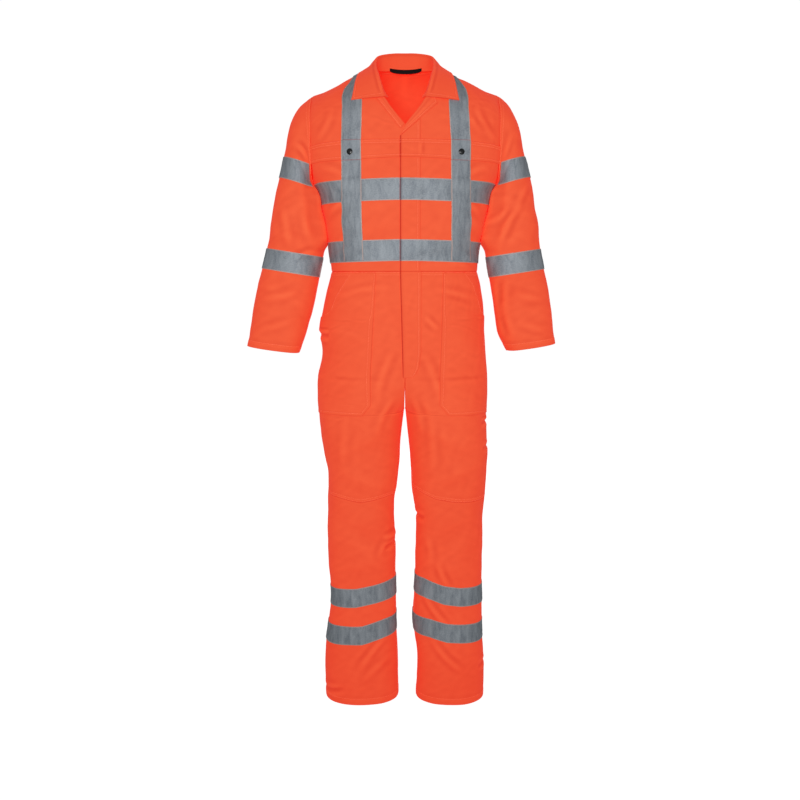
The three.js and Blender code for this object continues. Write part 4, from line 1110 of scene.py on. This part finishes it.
def add_node(tree, kind, settings=None, links=None):
    """Adds a node with its settings, by attribute or by input name, and links into its inputs."""
    node = tree.nodes.new(kind)
    for key, value in (settings or {}).items():
        if isinstance(key, str) and hasattr(node, key) and key not in node.inputs:
            setattr(node, key, value)
        else:
            node.inputs[key].default_value = value
    for key, socket in (links or {}).items():
        tree.links.new(socket, node.inputs[key])
    return node


def new_finish(name):
    material = bpy.data.materials.new(name)
    material.use_nodes = True
    material.node_tree.nodes.clear()
    return material, material.node_tree


def fluorescent_twill(colour, glow, name="fluorescent_twill"):
    """Dyed polyester-cotton twill: matt, with a diagonal rib and a faint nap. A painted red glow keeps its shade red,
    painted shade darkens its seams, the closure's gap and the hollows of its folds, and painted highlight lightens
    the crests."""
    material, tree = new_finish(name)
    place = add_node(tree, "ShaderNodeTexCoord")
    flat = add_node(tree, "ShaderNodeUVMap", {"uv_map": "flat"})
    cloud = add_node(tree, "ShaderNodeTexNoise", {"Scale": 11.0, "Detail": 4.0, "Roughness": 0.6},
                     {"Vector": place.outputs["Object"]})
    fibre = add_node(tree, "ShaderNodeTexNoise", {"Scale": 650.0, "Detail": 3.0, "Roughness": 0.7},
                     {"Vector": place.outputs["Object"]})
    tint = add_node(tree, "ShaderNodeValToRGB", None, {"Fac": cloud.outputs["Fac"]})
    tint.color_ramp.elements[0].position, tint.color_ramp.elements[1].position = 0.3, 0.75
    tint.color_ramp.elements[0].color = colour[0]
    tint.color_ramp.elements[1].color = colour[1]
    # Painted shade: the cloth darkens to 0.72 at every edge and back to its own colour 1.8 mm in, where the seams and
    # hems sink.
    edge = add_node(tree, "ShaderNodeAttribute", {"attribute_name": "edge"})
    valley = add_node(tree, "ShaderNodeMapRange", {"From Min": 0.0, "From Max": 1.8, "To Min": 0.72, "To Max": 1.0},
                      {"Value": edge.outputs["Fac"]})
    speck = add_node(tree, "ShaderNodeMapRange", {"From Min": 0.3, "From Max": 0.7, "To Min": 0.93, "To Max": 1.05},
                     {"Value": fibre.outputs["Fac"]})
    # Painted shadow of the closure's gap: the cloth darkens to 0.15 at the edges that list it.
    slit = add_node(tree, "ShaderNodeAttribute", {"attribute_name": "slit"})
    gap_shade = add_node(tree, "ShaderNodeMapRange", {"From Min": 0.0, "From Max": 0.9, "To Min": 1.0, "To Max": 0.15},
                     {"Value": slit.outputs["Fac"]})
    # Painted shade in the hollows of the folds, down to 0.72, and painted highlight on their crests, up to 1.15.
    hollow = add_node(tree, "ShaderNodeAttribute", {"attribute_name": "hollow"})
    shaded = add_node(tree, "ShaderNodeMapRange", {"From Min": -1.0, "From Max": 1.0, "To Min": 1.15, "To Max": 0.72},
                      {"Value": hollow.outputs["Fac"]})
    # The painted shade of the seams and of the closure's gap, together.
    seam_and_gap_shade = add_node(tree, "ShaderNodeMath", {"operation": "MULTIPLY"}, {0: valley.outputs["Result"],
                                                                       1: gap_shade.outputs["Result"]})
    dark = add_node(tree, "ShaderNodeMath", {"operation": "MULTIPLY"}, {0: seam_and_gap_shade.outputs["Value"],
                                                                       1: shaded.outputs["Result"]})
    both = add_node(tree, "ShaderNodeMath", {"operation": "MULTIPLY"}, {0: dark.outputs["Value"],
                                                                       1: speck.outputs["Result"]})
    shade = add_node(tree, "ShaderNodeVectorMath", {"operation": "SCALE"},
                     {"Vector": tint.outputs["Color"], "Scale": both.outputs["Value"]})
    # Painted glow: an emission in the glow colour keeps the cloth red in its shade, and the painted shade dims it a
    # little.
    dimmed = add_node(tree, "ShaderNodeMapRange", {"From Max": 1.0, "To Min": 0.74, "To Max": 1.0},
                      {"Value": dark.outputs["Value"]})
    painted_glow_colour = add_node(tree, "ShaderNodeVectorMath", {"operation": "SCALE", "Vector": glow[:3]},
                       {"Scale": dimmed.outputs["Result"]})
    # Ribs 0.9 mm apart, which the wave node counts as 0.444 divided by its scale.
    rib = add_node(tree, "ShaderNodeTexWave", {"bands_direction": "DIAGONAL", "Scale": 493.0, "Distortion": 0.4,
                                               "Detail": 1.0}, {"Vector": flat.outputs["UV"]})
    relief = add_node(tree, "ShaderNodeMath", {"operation": "ADD"})
    tree.links.new(rib.outputs["Fac"], relief.inputs[0])
    tree.links.new(fibre.outputs["Fac"], relief.inputs[1])
    bump = add_node(tree, "ShaderNodeBump", {"Strength": 0.25, "Distance": 0.0002},
                    {"Height": relief.outputs["Value"]})
    surface = add_node(tree, "ShaderNodeBsdfPrincipled", {
        "Roughness": 0.82, "Specular IOR Level": 0.25, "Sheen Weight": 0.12, "Sheen Roughness": 0.5,
        "Sheen Tint": linear("#ffc8b0"), "Emission Strength": 1.0,
    }, {"Base Color": shade.outputs["Vector"], "Emission Color": painted_glow_colour.outputs["Vector"],
        "Normal": bump.outputs["Normal"]})
    add_node(tree, "ShaderNodeOutputMaterial", None, {"Surface": surface.outputs["BSDF"]})
    return material


def glass_bead_tape(colour, pale, name="glass_bead_tape"):
    """Grey tape faced with tiny glass beads: satin, with painted sheen in light and dark diagonal streaks, painted
    glitter, a painted shadow along the closure's gap, and the pale woven backing showing at its two long edges."""
    material, tree = new_finish(name)
    flat = add_node(tree, "ShaderNodeUVMap", {"uv_map": "flat"})
    turned = add_node(tree, "ShaderNodeMapping", {"Rotation": (0.0, 0.0, 0.7), "Scale": (28.0, 7.0, 1.0)},
                      {"Vector": flat.outputs["UV"]})
    # Painted sheen: light and dark diagonal streaks in the grey, where the tape's wrinkles would catch the light; the
    # same streaks vary its roughness.
    sheen_and_gloss_streak = add_node(tree, "ShaderNodeTexNoise", {"Scale": 3.0, "Detail": 5.0, "Roughness": 0.65, "Distortion": 0.6},
                      {"Vector": turned.outputs["Vector"]})
    # The beads' glitter is painted into the grey, and as it is finer than a picture shows, it is drawn 2.4 mm coarse.
    glitter = add_node(tree, "ShaderNodeTexNoise", {"Scale": 420.0, "Detail": 2.0},
                       {"Vector": flat.outputs["UV"]})
    painted_sheen_and_glitter = add_node(tree, "ShaderNodeMath", {"operation": "MULTIPLY_ADD", 1: 0.55},
                      {0: glitter.outputs["Fac"], 2: sheen_and_gloss_streak.outputs["Fac"]})
    tone = add_node(tree, "ShaderNodeMath", {"operation": "SUBTRACT", 1: 0.275}, {0: painted_sheen_and_glitter.outputs["Value"]})
    grey = add_node(tree, "ShaderNodeValToRGB", None, {"Fac": tone.outputs["Value"]})
    grey.color_ramp.elements[0].position, grey.color_ramp.elements[1].position = 0.3, 0.72
    grey.color_ramp.elements[0].color = colour[0]
    grey.color_ramp.elements[1].color = colour[1]
    side = add_node(tree, "ShaderNodeAttribute", {"attribute_name": "selvedge"})
    border = add_node(tree, "ShaderNodeMapRange", {"From Min": 1.2, "From Max": 2.0, "To Min": 1.0, "To Max": 0.0},
                      {"Value": side.outputs["Fac"]})
    face = add_node(tree, "ShaderNodeMix", {"data_type": "RGBA", 7: pale},
                    {0: border.outputs["Result"], 6: grey.outputs["Color"]})
    # Painted shadow of the closure's gap, in dark mauve, at the edges that list it.
    slit = add_node(tree, "ShaderNodeAttribute", {"attribute_name": "slit"})
    gap_shade = add_node(tree, "ShaderNodeMix", {"data_type": "RGBA", 7: linear("#54434c")},
                     {0: slit.outputs["Fac"], 6: face.outputs[2]})
    beads = add_node(tree, "ShaderNodeTexVoronoi", {"Scale": 900.0}, {"Vector": flat.outputs["UV"]})
    bump = add_node(tree, "ShaderNodeBump", {"Strength": 0.2, "Distance": 0.0001},
                    {"Height": beads.outputs["Distance"]})
    gloss = add_node(tree, "ShaderNodeMapRange", {"From Min": 0.3, "From Max": 0.7, "To Min": 0.58, "To Max": 0.7},
                     {"Value": sheen_and_gloss_streak.outputs["Fac"]})
    surface = add_node(tree, "ShaderNodeBsdfPrincipled", {"Metallic": 0.3, "Specular IOR Level": 0.4}, {
        "Base Color": gap_shade.outputs[2], "Roughness": gloss.outputs["Result"], "Normal": bump.outputs["Normal"]})
    add_node(tree, "ShaderNodeOutputMaterial", None, {"Surface": surface.outputs["BSDF"]})
    return material


def woven_ribbon(colour):
    """Black woven polyester ribbon: fine ribs across and a slight sheen."""
    material, tree = new_finish("woven_ribbon")
    flat = add_node(tree, "ShaderNodeUVMap", {"uv_map": "flat"})
    rib = add_node(tree, "ShaderNodeTexWave", {"bands_direction": "X", "Scale": 350.0},
                   {"Vector": flat.outputs["UV"]})
    bump = add_node(tree, "ShaderNodeBump", {"Strength": 0.4, "Distance": 0.0002},
                    {"Height": rib.outputs["Fac"]})
    tone = add_node(tree, "ShaderNodeValToRGB", None, {"Fac": rib.outputs["Fac"]})
    tone.color_ramp.elements[0].color = colour
    tone.color_ramp.elements[1].color = linear("#0b0b0c")
    surface = add_node(tree, "ShaderNodeBsdfPrincipled", {"Roughness": 0.75, "Specular IOR Level": 0.2},
                       {"Base Color": tone.outputs["Color"], "Normal": bump.outputs["Normal"]})
    add_node(tree, "ShaderNodeOutputMaterial", None, {"Surface": surface.outputs["BSDF"]})
    return material


def moulded_cap(colour):
    """Black moulded snap cap: a smooth skin with faint flow marks."""
    material, tree = new_finish("moulded_cap")
    place = add_node(tree, "ShaderNodeTexCoord")
    marks = add_node(tree, "ShaderNodeTexNoise", {"Scale": 300.0, "Detail": 2.0},
                     {"Vector": place.outputs["Object"]})
    gloss = add_node(tree, "ShaderNodeMapRange", {"To Min": 0.22, "To Max": 0.34},
                     {"Value": marks.outputs["Fac"]})
    bump = add_node(tree, "ShaderNodeBump", {"Strength": 0.1, "Distance": 0.0001},
                    {"Height": marks.outputs["Fac"]})
    surface = add_node(tree, "ShaderNodeBsdfPrincipled", {"Base Color": colour},
                       {"Roughness": gloss.outputs["Result"], "Normal": bump.outputs["Normal"]})
    add_node(tree, "ShaderNodeOutputMaterial", None, {"Surface": surface.outputs["BSDF"]})
    return material


def spun_thread(name, colour, glow):
    """Spun polyester sewing thread, with the twist of its ply and a painted glow in its glow colour."""
    material, tree = new_finish(name)
    place = add_node(tree, "ShaderNodeTexCoord")
    twist = add_node(tree, "ShaderNodeTexNoise", {"Scale": 1800.0}, {"Vector": place.outputs["Object"]})
    bump = add_node(tree, "ShaderNodeBump", {"Strength": 0.3, "Distance": 0.0001},
                    {"Height": twist.outputs["Fac"]})
    # Painted glow: an emission at strength 0.6 in the glow colour.
    surface = add_node(tree, "ShaderNodeBsdfPrincipled", {
        "Base Color": colour, "Roughness": 0.6, "Emission Color": glow, "Emission Strength": 0.6,
    }, {"Normal": bump.outputs["Normal"]})
    add_node(tree, "ShaderNodeOutputMaterial", None, {"Surface": surface.outputs["BSDF"]})
    return material


FINISHES = {}


def finish_named(name, make):
    if name not in FINISHES:
        FINISHES[name] = make()
    return FINISHES[name]


# Add-on.
def shade(name, description, text):
    """A colour property whose default is an sRGB hex value."""
    return bpy.props.FloatVectorProperty(
        name=name, description=description, subtype="COLOR", size=4, min=0.0, max=1.0, default=linear(text))


class CutSizes(bpy.types.PropertyGroup):
    stitch_pitch: bpy.props.FloatProperty(
        name="Stitch pitch", description="Distance from one stitch to the next", default=0.0033, unit="LENGTH")


class FinishColours(bpy.types.PropertyGroup):
    twill_dark: shade("Twill, dark", "Darker colour of the twill's yarns", "#83623a")
    twill_light: shade("Twill, light", "Lighter colour of the twill's yarns", "#8c693f")
    # The twill's glow is painted light: an emission that keeps the cloth's shade red.
    twill_painted_glow: shade("Twill, glow", "Colour that the fluorescent dye gives off", "#dc0e08")
    # The tape's streaks between these two greys are painted sheen.
    tape_dark: shade("Tape, dark", "Darker grey of the tape's streaks", "#787f87")
    tape_light: shade("Tape, light", "Lighter grey of the tape's streaks", "#a5acb2")
    tape_edge: shade("Tape, edge", "Colour of the tape's bare edges", "#c4aca4")
    ribbon: shade("Ribbon", "Colour of the hanger loop", "#040404")
    cap: shade("Snap cap", "Colour of the snaps' caps", "#121315")
    thread: shade("Thread", "Colour of the thread on the cloth", "#f6a07a")
    # The thread's glow is painted light as well.
    thread_painted_glow: shade("Thread, glow", "Colour that the thread on the cloth gives off", "#e0301c")
    tape_thread: shade("Tape thread", "Colour of the thread on the tape", "#c8b8b2")


def colours(*names):
    """Linear colours of the scene, by the names of their properties."""
    return [tuple(getattr(bpy.context.scene.suit_colours, name)) for name in names]


def cloth():
    dark, light, glow = colours("twill_dark", "twill_light", "twill_painted_glow")
    return finish_named("cloth", lambda: fluorescent_twill((dark, light), glow))


def tape():
    dark, light, edge = colours("tape_dark", "tape_light", "tape_edge")
    return finish_named("tape", lambda: glass_bead_tape((dark, light), edge))


class SUIT_OT_torso(bpy.types.Operator):
    """Back and two fronts"""
    bl_idname = "suit.torso"
    bl_label = "Torso panels"

    def execute(self, context):
        make_torso(cloth())
        return {"FINISHED"}


class SUIT_OT_closure(bpy.types.Operator):
    """Covered closure above and below the waist seam, and the turned-out lapels"""
    bl_idname = "suit.closure"
    bl_label = "Closure and lapels"

    def execute(self, context):
        make_closure(cloth())
        sew(Sheet("placket_lower", fly_shape, 49, 252, ("bare", "folded", "seam", "seam"), FIRST, 1.2,
                  lambda point, u, v: 0.7 * np.exp(-(u * 47 / 3.5) ** 2), 4.0, shadowed_edges=(0,)), cloth())
        rim = [(56.8, -38.5), (48.5, -56.5), (36.5, -75.5), (23.5, -92.5)]
        left = lapel_outline([(0.5, -119.5)] + rim[::-1], [(-9, -142), (74, -72), (65, -56), (61, -47)], 0.86)
        mirrored = [(-x, z) for x, z in rim[::-1]]
        right = lapel_outline([(-2.5, -119.5)] + mirrored, [(-11, -129), (-65, -63), (-61, -49)], 0.84)
        for side, outline, width in (("left", left, 34), ("right", right, 24)):
            roll = lambda point, u, v: 1.2 * np.exp(-((u * 30 - 3) / 4) ** 2)
            sew(Sheet("lapel_" + side, torso_patch(outline), width, 100, ("bare", "folded", "bare", "seam"),
                      FIRST, 1.2, roll, 3.0), cloth())
        return {"FINISHED"}


class SUIT_OT_collar(bpy.types.Operator):
    """Fold-over collar"""
    bl_idname = "suit.collar"
    bl_label = "Collar"

    def execute(self, context):
        sew(Sheet("collar", collar_shape, 395, 122, ("folded", "folded", "folded", "seam"), 1.0, 2.0, None, 3.2),
            cloth())
        return {"FINISHED"}


class SUIT_OT_flaps(bpy.types.Operator):
    """Chest flaps with their tape"""
    bl_idname = "suit.flaps"
    bl_label = "Chest flaps"

    def execute(self, context):
        for side, inner, step in (("right", 12.3, None), ("left", -12, over_placket)):
            sew(Sheet("flap_" + side, flap_shape(side, inner, ARMHOLE - 0.15), 235, 44,
                      ("bare", "bare", "folded", "felled"), FIRST, 1.2, step, 3.4,
                      shadowed_edges=(0,) if side == "left" else ()), cloth())
            rows = BRACES[side]

            def outline(u, v, rows=rows):
                z = -197.3 + 44.3 * v
                return np.interp(z, rows[:, 0], rows[:, 1]) + BRACE_HALF * (2 * u - 1), z

            sew(Sheet("flap_tape_" + side, torso_patch(outline), 46, 47, ("taped", "taped", "bare", "bare"),
                      SECOND, TAPE_WALL, lambda p, u, v: crinkle(p, 0.2), 2.8), tape())
        return {"FINISHED"}


class SUIT_OT_legs(bpy.types.Operator):
    """Thigh, shin and back panels of both legs"""
    bl_idname = "suit.legs"
    bl_label = "Leg panels"

    def execute(self, context):
        make_legs(cloth())
        return {"FINISHED"}


class SUIT_OT_pockets(bpy.types.Operator):
    """Hip patch pockets"""
    bl_idname = "suit.pockets"
    bl_label = "Hip pockets"

    def execute(self, context):
        for side in ("right", "left"):
            sew(Sheet("hip_pocket_" + side, pocket_shape(side), 160, 345, ("folded", "folded", "folded", "seam"),
                      FIRST, 1.2, None, 4.0, ((), (25, 222))), cloth())
        return {"FINISHED"}


class SUIT_OT_sleeves(bpy.types.Operator):
    """Sleeves"""
    bl_idname = "suit.sleeves"
    bl_label = "Sleeves"

    def execute(self, context):
        make_sleeves(cloth())
        return {"FINISHED"}


class SUIT_OT_bands(bpy.types.Operator):
    """Reflective bands round the torso, sleeves and legs"""
    bl_idname = "suit.bands"
    bl_label = "Bands"

    def execute(self, context):
        plain = lambda p, u, v: crinkle(p, 0.3)
        lifted = lambda p, u, v: over_placket(p, u, v) + crinkle(p, 0.3)
        edges = ("bare", "bare", "taped", "taped")
        for name, upper, half in (("chest_band", CHEST_BAND, 240), ("waist_band", WAIST_BAND, 215)):
            for side, low, high, step in (("right", -221.8, CLOSURE_X - 0.3, plain), ("left", CLOSURE_X, 221.8, lifted)):
                sew(Sheet(name + "_" + side, torso_band(upper, low, high, -1), half, 50, edges, FIRST, TAPE_WALL,
                          step, 3.8, shadowed_edges=(0,) if side == "left" else ()), tape())
            sew(Sheet(name + "_back", torso_band(upper, -221.8, 221.8, 1), 500, 50, edges, FIRST, TAPE_WALL,
                      plain, 4.2), tape())
        make_sleeve_bands(tape())
        for (side, band), upper in LEG_BANDS.items():
            for part, face in (("front", 1), ("back", -1)):
                sew(Sheet("leg_band_%s_%s_%s" % (band, part, side), leg_band_shape(side, upper, face), 250, 50,
                          edges, FIRST, TAPE_WALL, plain, 3.8), tape())
        return {"FINISHED"}


class SUIT_OT_braces(bpy.types.Operator):
    """Reflective braces on the fronts and the back"""
    bl_idname = "suit.braces"
    bl_label = "Braces"

    def execute(self, context):
        edges = ("taped", "taped", "bare", "bare")
        rise = lambda z: (z - WAIST) / (DOME - WAIST)
        for side in ("right", "left"):
            upper = brace_shape(side, rise(-152.2), 2.0, -1)
            sew(Sheet("brace_upper_" + side, upper, 46, 235, edges, FIRST, TAPE_WALL,
                      lambda p, u, v: crinkle(p, 0.3), 3.4), tape())
            lower = brace_shape(side, rise(-425), rise(-197.5), -1)
            sew(Sheet("brace_lower_" + side, lower, 46, 228, edges, FIRST, TAPE_WALL, over_bands, 3.2),
                tape())
            back = brace_shape(side, rise(-425), 2.09, 1)
            sew(Sheet("brace_back_" + side, back, 46, 560, edges, FIRST, TAPE_WALL, over_bands, 4.2),
                tape())
        return {"FINISHED"}


class SUIT_OT_fastenings(bpy.types.Operator):
    """Snap caps and the hanger loop"""
    bl_idname = "suit.fastenings"
    bl_label = "Snaps and hanger loop"

    def execute(self, context):
        black = finish_named("cap", lambda: moulded_cap(*colours("cap")))
        profile = [(0.02, 2.0), (1.6, 1.97), (3.2, 1.83), (4.6, 1.55), (5.6, 1.15), (6.1, 0.8), (6.35, 0.72),
                   (6.7, 0.75), (7.0, 0.5), (7.05, 0.1), (6.9, -0.3), (0.02, -0.35)]
        for side, x in (("right", -127.0), ("left", 129.0)):
            turned, faces = lathe(profile)
            angle = torso_angle(np.array([[x]]), np.array([[-179.0]]), -1)
            point, normal = torso_at(angle, torso_rise(np.array([[x]]), np.array([[-179.0]]), -1))
            placed = facing(point[0, 0] + normal[0, 0] * (SECOND + 0.3), normal[0, 0], turned)
            obj = new_object("cap_" + side, placed * MM, faces)
            obj.data.materials.append(black)
            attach(obj, BODY)
            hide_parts("snap_" + side)

        def ribbon(u, v):
            end = np.abs(2 * u - 1)
            x = -37 + 78 * u
            sag = 4 * np.sin(np.pi * u)
            width = 10 * (1 - 0.3 * end ** 6)
            y = 51.6 - 1.4 * u - sag + 1.2 * end ** 8
            z = 37.5 - sag + 2.5 * end ** 5 + width * (v - 0.5)
            point = np.stack([x, y, z], -1)
            normal = np.zeros_like(point)
            normal[..., 1] = -1
            return point, normal

        loop = finish_named("ribbon", lambda: woven_ribbon(*colours("ribbon")))
        sew(Sheet("hanger_loop", ribbon, 78, 10, ("bare", "bare", "bare", "bare"), 0.45, 0.9, None, 2.0), loop)
        return {"FINISHED"}


# First words of the nodes whose stitches lie on the torso and on the legs.
TORSO_WORDS = ("back", "front", "placket", "lapel", "collar", "flap")
LEG_WORDS = ("thigh", "shin", "hip")


class SUIT_OT_thread(bpy.types.Operator):
    """Rows of thread along seams, hems and tape"""
    bl_idname = "suit.thread"
    bl_label = "Thread"

    def execute(self, context):
        orange = finish_named("thread", lambda: spun_thread("orange_thread", *colours("thread", "thread_painted_glow")))
        pale = finish_named("pale", lambda: spun_thread("pale_thread", *colours("tape_thread"), linear("#000000")))
        groups = {
            "thread_torso": lambda s: (s.lift < SECOND and s.node.split("_")[0] in TORSO_WORDS
                                       and "tape" not in s.node),
            "thread_sleeves": lambda s: s.node.startswith("sleeve_") and "band" not in s.node,
            "thread_legs": lambda s: s.node.split("_")[0] in LEG_WORDS or s.node.startswith("leg_back"),
            "thread_tape": lambda s: "band" in s.node or "brace" in s.node or "tape" in s.node,
        }
        pitch = round(context.scene.suit_sizes.stitch_pitch / MM, 4)
        for name, belongs in groups.items():
            lines = [line for sheet in SEWN if belongs(sheet) for line in thread_lines(sheet)]
            points, faces = stitch_mesh(lines, pitch=pitch)
            obj = new_object(name, points * MM, faces)
            obj.data.materials.append(pale if name == "thread_tape" else orange)
            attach(obj, BODY)
        return {"FINISHED"}


# Each light's name, place in metres, size in metres, power in watts and spread in degrees, and the
# point that they all face.
LIGHTS = [
    ("key", (-0.22, -2.45, -0.36), 0.9, 8.6, 95.0),
    ("fill", (1.6, -3.9, -0.6), 1.8, 12.0, 180.0),
    ("rear", (0.4, 3.3, -0.2), 2.4, 46.0, 180.0),
]
LIT_POINT = (0, -0.1, -0.42)
CAMERA_PLACE = (-0.012, -1.965, -0.470)
CAMERA_DOWN = 8.75


class SUIT_OT_stage(bpy.types.Operator):
    """Pale floor, soft light and the camera"""
    bl_idname = "suit.stage"
    bl_label = "Stage"

    def execute(self, context):
        scene = context.scene
        points = np.array([(-9, -9, -1.62), (9, -9, -1.62), (9, 9, -1.62), (-9, 9, -1.62)])
        floor = new_object("floor", points, np.array([[0, 1, 2, 3]]))
        paint, tree = new_finish("pale_floor")
        coat = add_node(tree, "ShaderNodeBsdfPrincipled", {
            "Base Color": linear("#808080"), "Roughness": 0.9, "Specular IOR Level": 0.0,
            "Emission Color": linear("#ffffff"), "Emission Strength": 0.96})
        add_node(tree, "ShaderNodeOutputMaterial", None, {"Surface": coat.outputs["BSDF"]})
        floor.data.materials.append(paint)
        floor.visible_diffuse = floor.visible_glossy = False
        world = bpy.data.worlds.new("studio")
        scene.world = world
        world.use_nodes = True
        # The white wall behind is seen at full strength and lights the suit at less.
        ray = add_node(world.node_tree, "ShaderNodeLightPath")
        strength = add_node(world.node_tree, "ShaderNodeMapRange", {"To Min": 0.27, "To Max": 1.02},
                            {"Value": ray.outputs["Is Camera Ray"]})
        background = world.node_tree.nodes["Background"]
        background.inputs["Color"].default_value = linear("#ffffff")
        world.node_tree.links.new(strength.outputs["Result"], background.inputs["Strength"])
        for name, place, size, power, spread in LIGHTS:
            light = bpy.data.lights.new(name, "AREA")
            light.shape, light.size, light.energy, light.spread = "DISK", size, power, math.radians(spread)
            lamp = bpy.data.objects.new(name, light)
            lamp.location = place
            lamp.rotation_euler = (Vector(LIT_POINT) - Vector(place)).to_track_quat("-Z", "Y").to_euler()
            scene.collection.objects.link(lamp)
        camera = bpy.data.cameras.new("camera")
        camera.sensor_width, camera.lens = 36.0, 35.1
        camera.clip_start, camera.clip_end = 0.05, 60.0
        holder = bpy.data.objects.new("camera", camera)
        holder.location = CAMERA_PLACE
        holder.rotation_euler = (math.radians(90 - CAMERA_DOWN), 0, 0)
        scene.collection.objects.link(holder)
        scene.camera = holder
        scene.view_settings.view_transform = "Standard"
        return {"FINISHED"}


class SUIT_PT_panel(bpy.types.Panel):
    """Lists the steps that sew the suit"""
    bl_label = "Boiler suit"
    bl_idname = "SUIT_PT_panel"
    bl_space_type = "VIEW_3D"
    bl_region_type = "UI"
    bl_category = "Boiler suit"

    def draw(self, context):
        for step in STEPS:
            self.layout.operator("suit." + step)


STEPS = ["stage", "torso", "legs", "sleeves", "collar", "closure", "flaps", "pockets", "bands", "braces",
         "fastenings", "thread"]
CLASSES = [CutSizes, FinishColours, SUIT_OT_torso, SUIT_OT_closure, SUIT_OT_collar, SUIT_OT_flaps, SUIT_OT_legs,
           SUIT_OT_pockets, SUIT_OT_sleeves, SUIT_OT_bands, SUIT_OT_braces, SUIT_OT_fastenings, SUIT_OT_thread,
           SUIT_OT_stage, SUIT_PT_panel]


def register():
    for item in CLASSES:
        bpy.utils.register_class(item)
    bpy.types.Scene.suit_sizes = bpy.props.PointerProperty(type=CutSizes)
    bpy.types.Scene.suit_colours = bpy.props.PointerProperty(type=FinishColours)


def unregister():
    del bpy.types.Scene.suit_colours
    del bpy.types.Scene.suit_sizes
    for item in reversed(CLASSES):
        bpy.utils.unregister_class(item)


def main():
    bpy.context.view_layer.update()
    register()
    for step in STEPS:
        getattr(bpy.ops.suit, step)()


if __name__ == "__main__":
    main()
